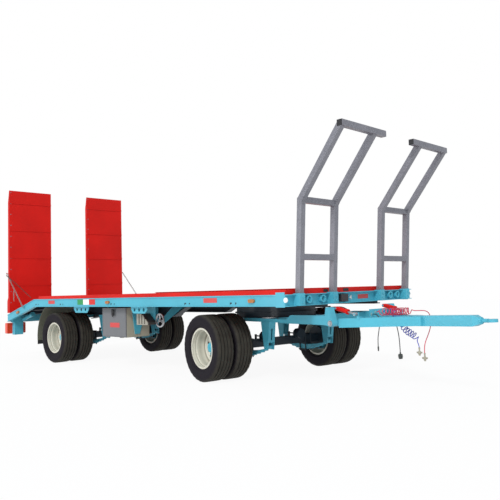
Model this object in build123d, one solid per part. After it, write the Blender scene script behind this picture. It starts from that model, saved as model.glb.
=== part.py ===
from build123d import *
import math
import os

# Two-axle drawbar platform trailer with a sloping tail, standing loading ramps and front bale frames.
# +X is forward, +Y is left, +Z is up, the ground is z = 0. Millimetres and degrees.
# Chassis stations are measured from the front beam's front edge, bogie stations from the turntable's centre.

# platform
platform_width = 2550
flat_length = 6371
tail_run = 1175
tail_drop = 291
rail_top_z = 1108
rail_height = 135
rail_lip = 8
rail_lip_height = 14
rail_wall = 6
rail_flange = 62
floor_thickness = 12
kerb_height = 55
kerb_wall = 8
kerb_flange = 36
kerb_start = 6200
cleat_count = 7
cleat_width = 26
cleat_height = 12
fit_gap = 0.3

# main beams under the cross members
beam_gauge = 1040
beam_flange = 120
beam_flange_thickness = 12
beam_web = 8
cross_height = 80
cross_flange = 45
cross_wall = 6
cross_count = 12
beam_deep_bottom_z = 800
beam_front_bottom_z = 935
beam_step_start = 2780
beam_step_end = 3060
beam_tail_bottom_z = 640
front_flange = 60
front_wall = 8
rear_beam_depth = 90

# bale frames
post_size = 70
post_wall = 5
post_inner_y = 493
post_edge_inset = 180
frame_lean = 4.0
frame_knee_z = 2180
frame_top_z = 2942
frame_top_reach = 700
frame_rung_z = 1530
top_bar_inner_y = 300
socket_wall = 8
socket_bottom_z = 985
socket_top_z = 1118

# ramps
ramp_inner_y = 402
ramp_edge_inset = 20
ramp_face_step = 58
ramp_depth = 65
ramp_foot_depth = 105
ramp_foot_height = 300
ramp_bottom_z = 852
ramp_top_z = 3263
ramp_tip_height = 240
ramp_tip_depth = 12
ramp_skin = 6
ramp_web = 8
ramp_rib_height = 8
ramp_rib_width = 34
ramp_rib_count = 4
ramp_pin_step = 36
ramp_pin_z = 795
ramp_pin_radius = 14
ramp_barrel_radius = 28
ramp_lug_width = 70
ramp_ear_thickness = 14
ramp_lug_inset = 150
ramp_side_gap = 5

# ramp chains
chain_wire = 8
chain_width = 28
chain_link_count = 21
chain_pin_radius = 5.5
chain_foot_step = 746
chain_foot_drop = 36
chain_head_step = 42
chain_head_z = 1625
chain_out = 18
chain_end_half = 12

# wheels and tyres
tyre_diameter = 866
tyre_sides = 24
tyre_width = 262
tyre_bead_radius = 249
tread_width = 232
rim_flange_radius = 264
rim_wall = 8
dual_inset = 285
dual_spacing = 295
rim_half_width = 97
disc_thickness = 13
hand_hole_count = 10
hand_hole_radius = 24
hand_hole_circle = 175
hub_radius = 105
hub_length = 120
hub_cap_radius = 62
hub_cap_length = 52
drum_radius = 185
drum_length = 190
spindle_radius = 40
rear_axle_step = 708
front_axle_x = -1440
seat_thickness = 24.6
bolt_radius = 9
chamber_radius = 70
chamber_y = 300
chamber_lift = 90
axle_section = 110

# leaf springs
spring_y = 520
spring_half_span = 500
spring_seat = 26
leaf_width = 76
leaf_thickness = 13
leaf_spans = (500, 430, 350, 260, 170)
spring_radius = 2300
hanger_wall = 10
hanger_eye_drop = 34

# bogie and turntable
steer_angle = -8.0
ring_outer_radius = 560
ring_inner_radius = 470
ring_split_z = 862
bogie_top_z = 790
bogie_rail_height = 45
bogie_rail_width = 80
bogie_back_x = -640
bogie_nose_height = 104
bogie_nose_start = 930

# drawbar
hinge_x = 1733
hinge_y = 520
hinge_z = 760
hinge_pin_radius = 20
hinge_barrel_radius = 38
lug_thickness = 16
arm_width = 62
arm_height = 104
arm_bottom_z = 706
arm_join_x = 2660
brace_x = 1900
brace_depth = 70
beam_width = 120
drawbar_beam_height = 112
beam_lap = 160
drawbar_beam_end = 3347
gusset_back = 290
gusset_front = 140
gusset_half = 195
drawbar_rise = 1.4
eye_centre_x = 3477
eye_outer_radius = 52
eye_bore_radius = 20
eye_thickness = 32
eye_shank_radius = 20

# drawbar spring struts
strut_pivot_x = 1690
strut_pivot_z = 925
strut_end_x = 1990
strut_end_z = 856
strut_y = 405
strut_barrel_radius = 26
strut_rod_radius = 13
strut_pin_radius = 10
strut_barrel_length = 190
strut_rod_start = 110

# air and electric lines over the drawbar, as (x, y, z) points and a diameter
# a curly hose is one tube of its coil's outer diameter
line_gland_x = 1990
line_gland_radius = 11
hoses = {
    "red_air_hose": ([
        (1990, -55, 862), (2056, -57, 863), (2140, -62, 865), (2240, -66, 866), (2340, -60, 866), (2436, -40, 866),
        (2516, 0, 868),
    ], 92),
    "red_hose_tail": ([
        (2516.3, 0, 868), (2546, 16, 868), (2582, 52, 868), (2604, 100, 856), (2612, 134, 812), (2610, 142, 748),
        (2606, 132, 676), (2596, 104, 606), (2582, 70, 540), (2570, 49, 470), (2570, 49, 402),
    ], 12),
    "blue_air_hose": ([
        (1990, 50, 860), (2052, 50, 860), (2136, 44, 856), (2220, 26, 838), (2288, 4, 788), (2326, -6, 716),
        (2372, -8, 652), (2438, -5, 620), (2498, -1, 588), (2540, 0, 530), (2540, 0, 466),
    ], 84),
    "black_cable": ([
        (1990, -122, 842), (2032, -122, 842), (2074, -123, 820), (2092, -124, 774), (2084, -122, 704), (2064, -120, 632),
        (2042, -118, 556), (2042, -118, 474),
    ], 10),
    "lamp_cable": ([
        (1990, 118, 842), (2030, 118, 842), (2076, 114, 822), (2120, 100, 776), (2162, 76, 716), (2206, 46, 652),
        (2238, 24, 578), (2250, 16, 494), (2250, 16, 404),
    ], 10),
}

# parking brake
brake_wheel_x = -2845
brake_wheel_inset = 275
brake_wheel_z = 762
brake_wheel_radius = 102

# tool box
tool_box_back = 4180
tool_box_front = 3500
tool_box_inset = 115
tool_box_depth = 400
tool_box_bottom_z = 500
tool_box_top_z = 948
chock_back_x = -3240
chock_bottom_z = 700
sheet = 4
door_thickness = 16
door_pin_radius = 2.6
door_hinge_length = 60
door_hinge_spread = 200

# air tank
tank_x = -4089
tank_radius = 135
tank_length = 660

# mudguards and lamps
guard_radius = 600
guard_thickness = 5
guard_segments = 8
guard_start_angle = 119
guard_end_angle = 186
guard_inner_y = 700
guard_edge_inset = 13
flap_bottom_z = 300
lamp_post_width = 165
lamp_post_depth = 110
lamp_post_inset = 105
lamp_post_bottom_z = 425
lamp_width = 360
lamp_height = 208
lamp_depth = 100
lamp_edge_inset = 5
lamp_bottom_z = 447

# side markers and spring canisters
marker_stations = (-3826, -599)
marker_rear_step = 485
marker_length = 104
marker_height = 44
marker_depth = 22
canister_y = 1000
canister_radius = 38
canister_length = 420
rail_bracket_spans = ((-4980, -4490), (-3250, -2830))

half_width = platform_width / 2
rear_x = -(flat_length + tail_run)
tail_slope = tail_drop / tail_run
tail_angle = math.degrees(math.atan(tail_slope))
rail_bottom_z = rail_top_z - rail_height
wheel_centre_z = tyre_diameter / 2
post_outer_y = half_width - post_edge_inset
ramp_outer_y = half_width - ramp_edge_inset
ramp_face_x = rear_x + ramp_face_step
ramp_pin_x = rear_x - ramp_pin_step
chain_y = half_width + chain_out
dual_centre_y = half_width - dual_inset
rear_axle_x = -flat_length + rear_axle_step
brake_wheel_y = half_width - brake_wheel_inset
tool_box_outer_y = half_width - tool_box_inset
guard_outer_y = half_width - guard_edge_inset
lamp_post_outer_y = half_width - lamp_post_inset
lamp_outer_y = half_width - lamp_edge_inset
lamp_front_x = rear_x - 14 - fit_gap
drawbar_beam_start = arm_join_x - beam_lap
sides = ((-1, "right"), (1, "left"))
post_ys = [side * y for side, _ in sides for y in (post_inner_y, post_outer_y)]


def rail_z(x):
    """Height of the rail's top at a station, level and then down the tail."""
    return rail_top_z - max(0.0, -flat_length - x) * tail_slope


chain_foot = (rear_x + chain_foot_step, rail_z(rear_x + chain_foot_step) - chain_foot_drop)
chain_head = (ramp_face_x - chain_head_step, chain_head_z)


def block(x0, x1, y0, y1, z0, z1):
    """Rectangular block between two corners."""
    centre = Pos((x0 + x1) / 2, (y0 + y1) / 2, (z0 + z1) / 2)
    return centre * Box(abs(x1 - x0), abs(y1 - y0), abs(z1 - z0))


def side_plate(points, y0, y1):
    """Side view outline, as (x, z) points, extruded between two y values."""
    low, high = min(y0, y1), max(y0, y1)
    face = make_face(Plane.XZ.offset(-high) * Polyline(*points, close=True))
    return extrude(face, high - low, dir=(0, -1, 0))


def front_plate(points, x0, x1):
    """Front view outline, as (y, z) points, extruded between two x values."""
    low, high = min(x0, x1), max(x0, x1)
    face = make_face(Plane.YZ.offset(low) * Polyline(*points, close=True))
    return extrude(face, high - low, dir=(1, 0, 0))


def top_plate(points, z0, z1):
    """Plan outline, as (x, y) points, extruded between two z values."""
    face = make_face(Plane.XY.offset(z0) * Polyline(*points, close=True))
    return extrude(face, z1 - z0, dir=(0, 0, 1))


def rod(start, end, radius):
    """Round bar between two points."""
    axis = Vector(*end) - Vector(*start)
    plane = Plane(origin=Vector(*start), z_dir=axis.normalized())
    return extrude(plane * Circle(radius), axis.length)


def square_tube(start, end, size, wall, x_dir=(0, 1, 0)):
    """Square hollow section between two points, with one side along x_dir."""
    axis = Vector(*end) - Vector(*start)
    plane = Plane(origin=Vector(*start), x_dir=x_dir, z_dir=axis.normalized())
    outer = extrude(plane * Rectangle(size, size), axis.length)
    inner = extrude(plane * Rectangle(size - 2 * wall, size - 2 * wall), axis.length)
    return outer - inner


def fused(pieces):
    """One solid from touching pieces."""
    result = pieces[0]
    for piece in pieces[1:]:
        result = result + piece
    return result


def rail_band(top_drop, bottom_drop, y0, y1, x_front=0.0, x_rear=rear_x):
    """Strip that follows the rail's top line at a vertical depth, level and then down the tail."""
    stations = [x for x in (x_front, -flat_length, x_rear) if x_rear <= x <= x_front]
    upper = [(x, rail_z(x) - top_drop) for x in stations]
    lower = [(x, rail_z(x) - bottom_drop) for x in reversed(stations)]
    return side_plate(upper + lower, y0, y1)


def side_rail(side):
    """Rolled edge rail: recessed web, a lip above and below, and two inward flanges."""
    outer = side * half_width
    web_outer = side * (half_width - rail_lip)
    web_inner = side * (half_width - rail_lip - rail_wall)
    inner = side * (half_width - rail_flange)
    foot = rail_height - rail_lip_height
    pieces = [
        rail_band(0, rail_height, web_outer, web_inner, -front_flange),
        rail_band(0, rail_lip_height, outer, web_outer, -front_flange),
        rail_band(foot, rail_height, outer, web_outer, -front_flange),
        rail_band(0, rail_wall, web_inner, inner, -front_flange),
        rail_band(rail_height - rail_wall, rail_height, web_inner, inner, -front_flange),
        block(-front_flange - 140, -front_flange, web_outer, outer, rail_bottom_z - 10, rail_top_z + 26),
        chain_lug(side),
    ]
    for x0, x1 in rail_bracket_spans:
        pieces.append(rail_bracket(x0, x1, side * (half_width - rail_flange + 4), side * 10))
    return fused(pieces)


def rail_bracket(x0, x1, y, thickness):
    """Plate under the rail with cut corners and three lashing holes."""
    low = rail_bottom_z - 100
    plate = side_plate([
        (x0, rail_bottom_z + 3), (x1, rail_bottom_z + 3), (x1, rail_bottom_z - 40),
        (x1 - 60, low), (x0 + 60, low), (x0, rail_bottom_z - 40),
    ], y, y + thickness)
    for share in (0.22, 0.5, 0.78):
        x = x0 + (x1 - x0) * share
        plate -= rod((x, y - thickness, rail_bottom_z - 48), (x, y + 2 * thickness, rail_bottom_z - 48), 26)
    return plate


def main_beam(side):
    """Stepped I-beam: shallow over the turntable, deep behind it and tapered under the tail."""
    y = side * beam_gauge / 2
    top = rail_top_z - cross_height
    end_x = rear_x + rear_beam_depth + fit_gap
    front_x = -front_flange - fit_gap
    upper = [(front_x, top), (-flat_length, top), (end_x, rail_z(end_x) - cross_height)]
    lower = [
        (end_x, beam_tail_bottom_z),
        (-flat_length, beam_deep_bottom_z),
        (-beam_step_end, beam_deep_bottom_z),
        (-beam_step_start, beam_front_bottom_z),
        (front_x, beam_front_bottom_z),
    ]
    web = side_plate(upper + lower, y - beam_web / 2, y + beam_web / 2)
    flange_top = [(x, z - beam_flange_thickness) for x, z in reversed(upper)]
    flange_bottom = [(x, z + beam_flange_thickness) for x, z in reversed(lower)]
    half = beam_flange / 2
    return fused([
        web,
        side_plate(upper + flange_top, y - half, y + half),
        side_plate(lower + flange_bottom, y - half, y + half),
    ] + guard_arms(side))


def cross_member(x, reach):
    """Channel across the frame, under the floor."""
    top = rail_z(x) - fit_gap
    bottom = rail_z(x) - cross_height + fit_gap
    slant = cross_flange * tail_slope if x < -flat_length else 0.0
    outline = [
        (x, top),
        (x - cross_flange, top - slant),
        (x - cross_flange, top - slant - cross_wall),
        (x - cross_wall, top - cross_wall),
        (x - cross_wall, bottom + cross_wall),
        (x - cross_flange, bottom - slant + cross_wall),
        (x - cross_flange, bottom - slant),
        (x, bottom),
    ]
    return side_plate(outline, -reach, reach)


def frame_members():
    """Cross members at even steps along the floor and down the tail."""
    reach = half_width - rail_flange - fit_gap
    level = [-(280 + i * (flat_length - 420) / (cross_count - 1)) for i in range(cross_count)]
    tail = [-flat_length - tail_run * share for share in (0.16, 0.44, 0.72)]
    return [cross_member(x, reach) for x in level + tail]


def front_beam():
    """Front channel with its open side forward and its flanges notched for the sockets."""
    web_x = -front_flange
    y = half_width
    top = rail_top_z
    beam = fused([
        block(web_x, web_x + front_wall, -y, y, rail_bottom_z, top),
        block(web_x, 0, -y, y, top - front_wall, top),
        block(web_x, 0, -y, y, rail_bottom_z, rail_bottom_z + front_wall),
    ])
    for boss_y in (-906, -655, 760, 931):
        cup = rod((web_x + 2, boss_y, 1044), (-4, boss_y, 1044), 45) - rod((web_x + front_wall, boss_y, 1044), (0, boss_y, 1044), 31)
        beam += cup
    beam += block(web_x + 2, -10, -310, -170, 996, 1084)
    notch = post_size / 2 + 1 + socket_wall + fit_gap
    for post_y in post_ys:
        beam -= block(web_x + front_wall, 1, post_y - notch, post_y + notch, rail_bottom_z - 1, top + 1)
    return beam


def rear_beam():
    """Box beam across the tail's end."""
    front = rear_x + rear_beam_depth
    y = half_width - rail_flange - fit_gap
    depth = 150
    outline = [
        (rear_x, rail_z(rear_x) - fit_gap),
        (front, rail_z(front) - fit_gap),
        (front, rail_z(rear_x) - depth),
        (rear_x, rail_z(rear_x) - depth),
    ]
    return fused([side_plate(outline, -y, y)] + [lamp_post(side) for side, _ in sides])


def deck_floor():
    """Level plate and sloping tail plate inside the kerbs."""
    y = half_width - kerb_flange - rail_lip - 6
    level = block(-flat_length, -front_flange - 2, -y, y, rail_top_z, rail_top_z + floor_thickness)
    top = rail_top_z + floor_thickness
    low = rail_z(rear_x)
    tail = side_plate([
        (-flat_length, rail_top_z),
        (-flat_length, top),
        (rear_x, low + floor_thickness),
        (rear_x, low),
    ], -y, y)
    floor = level + tail
    for i in range(cleat_count):
        x = -flat_length - tail_run * (0.10 + 0.12 * i)
        z = rail_z(x) + floor_thickness
        bar = Pos(0, 0, cleat_height / 2 - 3) * Box(cleat_width, 2 * (y - 150), cleat_height + 6)
        floor += Pos(x, 0, z) * Rot(0, -tail_angle, 0) * bar
    return floor


def kerb(side):
    """Raised angle along one side of the floor."""
    y0 = side * (half_width - rail_lip)
    y1 = side * (half_width - rail_lip - kerb_wall)
    y2 = side * (half_width - rail_lip - kerb_flange)
    top = rail_top_z + kerb_height
    front = -front_flange - 2
    upright = block(-kerb_start, front, y0, y1, rail_top_z, top)
    flange = block(-kerb_start, front - kerb_flange - 1, y1, y2, top - kerb_wall, top)
    return upright + flange


def front_kerb():
    """Raised angle along the front of the floor."""
    y = half_width - rail_lip
    top = rail_top_z + kerb_height
    front = -front_flange + front_wall - 1
    back = front - kerb_wall
    upright = block(back, front, -y, y, rail_top_z, top)
    inner = y - kerb_wall - 1
    flange = block(back - kerb_flange + kerb_wall, back, -inner, inner, top - kerb_wall, top)
    return upright + flange


def leaned(x, z):
    """Point of the bale frames' plane after the forward lean about the socket's foot."""
    turn = math.radians(frame_lean)
    height = z - socket_bottom_z
    return (x + height * math.tan(turn), z)


def bale_frame(side):
    """Two posts, a knee bar, a rung, two forward struts and a top bar of square tube."""
    half = post_size / 2
    knee = leaned(0.0, frame_knee_z)
    rung = leaned(0.0, frame_rung_z)
    top = (frame_top_reach, frame_top_z)
    pieces = []
    for y in (side * post_inner_y, side * post_outer_y):
        foot_z = socket_bottom_z + half * math.sin(math.radians(frame_lean)) + fit_gap
        pieces.append(square_tube((0.0, y, foot_z), (knee[0], y, knee[1]), post_size, post_wall))
        pieces.append(square_tube((knee[0], y, knee[1]), (top[0], y, top[1]), post_size, post_wall))
        elbow = [
            (knee[0] - half, knee[1] - 20),
            (knee[0] + half, knee[1] - 20),
            (knee[0] + half + 22, knee[1] + 12),
            (knee[0] - half + 34, knee[1] + 48),
            (knee[0] - half, knee[1] + 18),
        ]
        pieces.append(side_plate(elbow, y - half, y + half))
    low, high = side * (post_inner_y + half), side * (post_outer_y - half)
    for x, z in (knee, rung):
        pieces.append(block(x - half, x + half, low, high, z - half, z + half))
    bar_ends = (side * top_bar_inner_y, side * (post_outer_y + half))
    pieces.append(square_tube((top[0], bar_ends[0], top[1]), (top[0], bar_ends[1], top[1]), post_size, post_wall, (1, 0, 0)))
    return fused(pieces)


def frame_socket(y):
    """Open square socket that stands in the front channel and holds one post."""
    half = post_size / 2 + 1
    lean = math.tan(math.radians(frame_lean)) * (socket_top_z - socket_bottom_z)
    back = -front_flange + front_wall + fit_gap
    front = half + lean + socket_wall
    side = half + socket_wall
    outer = block(back, front, y - side, y + side, socket_bottom_z - socket_wall, socket_top_z)
    bore = block(-half, half + lean, y - half, y + half, socket_bottom_z, socket_top_z + 10)
    return outer - bore


def hinge_ear(y, width):
    """Ear plate from the rear beam to the ramp's pin, round at the pin."""
    radius = ramp_barrel_radius
    plate = side_plate([
        (rear_x, ramp_pin_z - 95),
        (rear_x, rail_z(rear_x) - 4),
        (ramp_pin_x, ramp_pin_z + radius),
        (ramp_pin_x, ramp_pin_z - radius),
    ], y - width / 2, y + width / 2)
    nose = rod((ramp_pin_x, y - width / 2, ramp_pin_z), (ramp_pin_x, y + width / 2, ramp_pin_z), radius)
    return plate + nose


def lug_stations(side):
    """Middles of a ramp's two hinge lugs."""
    return [side * (ramp_inner_y + ramp_lug_inset), side * (ramp_outer_y - ramp_lug_inset)]


def ramp_ears():
    """Pairs of ears with a pin through each pair."""
    pieces = []
    offset = ramp_lug_width / 2 + ramp_side_gap + ramp_ear_thickness / 2
    for side, _ in sides:
        for y in lug_stations(side):
            reach = offset + ramp_ear_thickness / 2 + 6
            pin = rod((ramp_pin_x, y - reach, ramp_pin_z), (ramp_pin_x, y + reach, ramp_pin_z), ramp_pin_radius)
            pieces.append(fused([hinge_ear(y - offset, ramp_ear_thickness), pin, hinge_ear(y + offset, ramp_ear_thickness)]))
    return pieces


def ramp(side):
    """Loading ramp: grip-barred skin on two tapered webs, with cross stiffeners behind and two lugs."""
    face = ramp_face_x
    inner, outer = side * ramp_inner_y, side * ramp_outer_y
    back = face - ramp_depth
    web = [
        (face, ramp_bottom_z),
        (face, ramp_top_z),
        (face - ramp_tip_depth, ramp_top_z),
        (back, ramp_top_z - ramp_tip_height),
        (back, ramp_bottom_z + ramp_foot_height),
        (face - ramp_foot_depth, ramp_bottom_z + ramp_foot_height - 70),
        (face - ramp_foot_depth, ramp_bottom_z),
    ]
    middle = (inner + outer) / 2
    pieces = [
        side_plate(web, inner, inner + side * ramp_web),
        side_plate(web, outer - side * ramp_web, outer),
        side_plate(web, middle - ramp_web / 2, middle + ramp_web / 2),
        block(face - ramp_skin, face, inner, outer, ramp_bottom_z, ramp_top_z),
        block(face - ramp_foot_depth, face, inner, outer, ramp_bottom_z, ramp_bottom_z + ramp_web),
    ]
    span = (ramp_top_z - ramp_tip_height - ramp_bottom_z) / ramp_rib_count
    for i in range(ramp_rib_count):
        z = ramp_bottom_z + span * (i + 1)
        pieces.append(block(face, face + ramp_rib_height, inner, outer, z - ramp_rib_width / 2, z + ramp_rib_width / 2))
        pieces.append(block(back + 4, face - ramp_skin, inner, outer, z - ramp_web / 2, z + ramp_web / 2))
    result = fused(pieces)
    radius = ramp_barrel_radius
    half = ramp_lug_width / 2
    for y in lug_stations(side):
        neck = side_plate([
            (rear_x - ramp_side_gap, ramp_pin_z + 8),
            (rear_x - ramp_side_gap, ramp_bottom_z + 26),
            (face - ramp_foot_depth, ramp_bottom_z + 26),
            (ramp_pin_x - radius, ramp_pin_z),
        ], y - half, y + half)
        result = result + neck
        result = result + rod((ramp_pin_x, y - half, ramp_pin_z), (ramp_pin_x, y + half, ramp_pin_z), radius)
        result = result - rod((ramp_pin_x, y - half - 1, ramp_pin_z), (ramp_pin_x, y + half + 1, ramp_pin_z), ramp_pin_radius + fit_gap)
    stud = (chain_head[0], outer - side * 2, chain_head[1])
    stud_end = (chain_head[0], side * (chain_y + 6), chain_head[1])
    return result + rod(stud, stud_end, chain_pin_radius)


def chain_link(inner_length, flat):
    """One long link in its own plane, six-sided outside and inside."""
    rings = []
    for shrink in (0, chain_wire):
        long_half = inner_length / 2 + chain_wire - shrink
        end_half = chain_end_half - 0.76 * shrink
        right = [(0, shrink - chain_width / 2), (long_half, -end_half), (long_half, end_half)]
        rings.append(right + [(-x, -y) for x, y in right])
    half_wire = chain_wire / 2
    link = top_plate(rings[0], -half_wire, half_wire) - top_plate(rings[1], -half_wire - 1, half_wire + 1)
    return link if flat else Rot(90, 0, 0) * link


def ramp_chain(side):
    """Straight run of links from the rail's lug up to the ramp's stud, every second link turned."""
    dx, dz = chain_head[0] - chain_foot[0], chain_head[1] - chain_foot[1]
    length = math.hypot(dx, dz)
    slack = chain_pin_radius + fit_gap
    pitch = (length + 2 * slack - fit_gap) / chain_link_count
    turn = Rot(0, -math.degrees(math.atan2(dz, dx)), 0)
    links = []
    for i in range(chain_link_count):
        along = (pitch + fit_gap) / 2 - slack + pitch * i
        place = Pos(chain_foot[0] + dx * along / length, side * chain_y, chain_foot[1] + dz * along / length)
        links.append(place * turn * chain_link(pitch + fit_gap, i % 2 == 1))
    return links


def chain_lug(side):
    """Pad on the rail's web with a stud for the chain's first link."""
    x, z = chain_foot
    web = side * (half_width - rail_lip)
    pad = block(x - 26, x + 26, web - side * 2, side * (half_width + 4), z - 22, z + 11)
    return pad + rod((x, web + side * 2, z), (x, side * (chain_y + 6), z), chain_pin_radius)


def lamp_post(side):
    """Square post under the rear beam that carries a lamp."""
    outer = side * lamp_post_outer_y
    inner = side * (lamp_post_outer_y - lamp_post_width)
    top = rail_z(rear_x) - 149
    return block(rear_x - 14, rear_x - 14 + lamp_post_depth, outer, inner, lamp_post_bottom_z, top)


def rear_lamp(side):
    """Lamp body behind its post, with rounded corners."""
    outer = side * lamp_outer_y
    inner = side * (lamp_outer_y - lamp_width)
    body = block(lamp_front_x - lamp_depth, lamp_front_x, outer, inner, lamp_bottom_z, lamp_bottom_z + lamp_height)
    return fillet(body.edges().filter_by(Axis.X), 18)


def mudguard(side):
    """Curved guard plate behind the rear twin wheel."""
    wedge = []
    for radius, order in ((guard_radius, 1), (guard_radius + guard_thickness, -1)):
        step = (guard_end_angle - guard_start_angle) / guard_segments
        angles = [guard_start_angle + step * i for i in range(guard_segments + 1)][::order]
        for angle in angles:
            turn = math.radians(angle)
            wedge.append((rear_axle_x + radius * math.cos(turn), wheel_centre_z + radius * math.sin(turn)))
    return side_plate(wedge, side * guard_inner_y, side * guard_outer_y)


def guard_arms(side):
    """Two round arms from the main beam that hold the mudguard."""
    arms = []
    step = (guard_end_angle - guard_start_angle) / guard_segments
    chord_radius = (guard_radius + guard_thickness) * math.cos(math.radians(step / 2))
    for angle in (guard_start_angle + 0.5 * step, guard_start_angle + 2.5 * step):
        turn = math.radians(angle)
        reach = chord_radius + 14 + fit_gap
        x, z = rear_axle_x + reach * math.cos(turn), wheel_centre_z + reach * math.sin(turn)
        arms.append(rod((x, side * beam_gauge / 2, z), (x, side * (guard_outer_y - 60), z), 14))
    return arms


def mud_flap(side):
    """Flexible flap that hangs from the mudguard's lower end."""
    x = rear_axle_x - guard_radius - guard_thickness - fit_gap
    top = wheel_centre_z + 87
    return block(x - 6, x, side * (guard_inner_y + 10), side * (guard_outer_y - 6), flap_bottom_z, top)


def side_markers():
    """Oval marker lamps on the rails' webs."""
    markers = []
    for side, _ in sides:
        y = side * (half_width - rail_lip + fit_gap)
        for x in (rear_x + marker_rear_step,) + marker_stations:
            face = Plane(origin=(x, y, rail_z(x) - rail_height / 2), x_dir=(1, 0, 0), z_dir=(0, side, 0))
            if x < -flat_length:
                face = face * Rot(0, 0, side * -tail_angle)
            markers.append(extrude(face * SlotOverall(marker_length, marker_height), marker_depth))
    return markers


def spring_canister(side):
    """Round spring housing under the tail, along its slope, hung from the cross members."""
    drop = cross_height + canister_radius / math.cos(math.radians(tail_angle)) + 6
    front_x = rear_x + rear_beam_depth + 12 + canister_length
    ends = [(x, side * canister_y, rail_z(x) - drop) for x in (front_x - canister_length, front_x)]
    body = rod(ends[0], ends[1], canister_radius) + rod((ends[1][0] - 24, ends[1][1], ends[1][2] - 24 * tail_slope), ends[1], canister_radius + 7)
    x = -flat_length - tail_run * 0.72
    pad_top = rail_z(x) - cross_height - cross_flange * tail_slope
    return body + block(x - cross_flange, x - 4, side * canister_y - 22, side * canister_y + 22, pad_top - 30, pad_top)


def tool_box():
    """Sheet steel box, open to the right under its door."""
    x0, x1 = -tool_box_back, -tool_box_front
    y0 = -tool_box_outer_y + door_thickness + fit_gap
    y1 = y0 + tool_box_depth
    body = block(x0, x1, y0, y1, tool_box_bottom_z, tool_box_top_z)
    inside = block(x0 + sheet, x1 - sheet, y0 - 1, y1 - sheet, tool_box_bottom_z + sheet, tool_box_top_z - sheet)
    box = body - inside
    axis_y, z = -tool_box_outer_y, tool_box_bottom_z
    for x in door_hinge_stations():
        half = door_hinge_length / 2 + 6
        box += rod((x - half, axis_y, z), (x + half, axis_y, z), door_pin_radius)
        for start in (x - half, x + half - 5):
            box += block(start, start + 5, axis_y - 5, y0 + 16, z - 6.5, z - 0.9) + block(start, start + 5, y0, y0 + 16, z - 6.5, z + 2)
    return box


def door_hinge_stations():
    """Middles of the door's two hinges."""
    middle = -(tool_box_back + tool_box_front) / 2
    return (middle - door_hinge_spread, middle + door_hinge_spread)


def tool_box_door():
    """Folded door hinged along its lower edge, with a latch plate."""
    x0, x1 = -tool_box_back, -tool_box_front
    y0 = -tool_box_outer_y
    door = block(x0 + 2, x1 - 2, y0, y0 + door_thickness, tool_box_bottom_z + 3, tool_box_top_z - 2)
    pan = block(x0 + 6, x1 - 6, y0 + sheet, y0 + door_thickness + 1, tool_box_bottom_z + 8, tool_box_top_z - 6)
    middle = (x0 + x1) / 2
    latch = block(middle - 55, middle + 55, y0 - 12, y0, tool_box_top_z - 120, tool_box_top_z - 12)
    door = door - pan + latch
    z = tool_box_bottom_z
    for x in door_hinge_stations():
        half = door_hinge_length / 2
        door += rod((x - half, y0, z), (x + half, y0, z), door_pin_radius + 4.4)
        door -= rod((x - half - 1, y0, z), (x + half + 1, y0, z), door_pin_radius + fit_gap)
    return door


def outrigger(x):
    """Bracket plate from the main beam out to the rail, with a leg that holds the tool box."""
    root_y = -(beam_gauge / 2 + beam_flange / 2 + fit_gap)
    tip_y = -(half_width - rail_flange - fit_gap)
    top = rail_top_z - cross_height - fit_gap
    leg_z = tool_box_bottom_z + 45
    outline = [
        (root_y, top),
        (tip_y, top),
        (tip_y, top - 40),
        (tip_y + 153, top - 70),
        (tip_y + 208, leg_z),
        (tip_y + 288, leg_z),
        (tip_y + 393, beam_deep_bottom_z + 60),
        (root_y, beam_deep_bottom_z + 20),
    ]
    return front_plate(outline, x, x + 12)


def chock_parts():
    """Wheel chock wedge and the plate that carries it."""
    x0, x1 = chock_back_x, chock_back_x + 285
    low, high = chock_bottom_z, chock_bottom_z + 162
    inner = -(half_width - 285)
    outer = inner - 150
    plate = block(x0 + 20, x1 - 20, inner, inner + 8, low, rail_top_z - cross_height - fit_gap)
    wedge = side_plate([(x0, low), (x1, low), (x1, low + 35), (x0 + 130, high), (x0, high)], outer, inner - fit_gap)
    for i in range(3):
        x = x0 + 50 + 72 * i
        wedge -= block(x, x + 28, outer - 1, outer + 12, low + 12, high + 8)
    return wedge, plate


def brake_wheel():
    """Hand wheel of the parking brake: a ring with a hub, three spokes and a spindle."""
    x, y, z = brake_wheel_x, -brake_wheel_y, brake_wheel_z
    face = Plane(origin=(x, y, z), x_dir=(1, 0, 0), z_dir=(0, -1, 0))
    outer = extrude(face * Circle(brake_wheel_radius), 9, both=True)
    inner = extrude(face * Circle(brake_wheel_radius - 18), 12, both=True)
    pieces = [outer - inner, rod((x, y - 18, z), (x, y + 60, z), 17)]
    for i in range(3):
        turn = math.radians(90 + 120 * i)
        reach = brake_wheel_radius - 10
        pieces.append(rod((x, y, z), (x + reach * math.cos(turn), y, z + reach * math.sin(turn)), 7))
    return fused(pieces)


def brake_bracket():
    """Gusset that carries the hand wheel from the main beam."""
    root_y = -(beam_gauge / 2 + beam_web / 2 + fit_gap)
    edge_y = -(beam_gauge / 2 + beam_flange / 2 + 6)
    back = -brake_wheel_y + 60 + fit_gap
    top, low, wheel = rail_top_z - cross_height - 16, beam_front_bottom_z - 5, brake_wheel_z
    outline = [
        (root_y, top),
        (root_y, low),
        (edge_y, low),
        (back + 40, wheel - 32),
        (back, wheel - 32),
        (back, wheel + 38),
        (edge_y - 120, top),
    ]
    return front_plate(outline, brake_wheel_x - 6, brake_wheel_x + 6)


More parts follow.
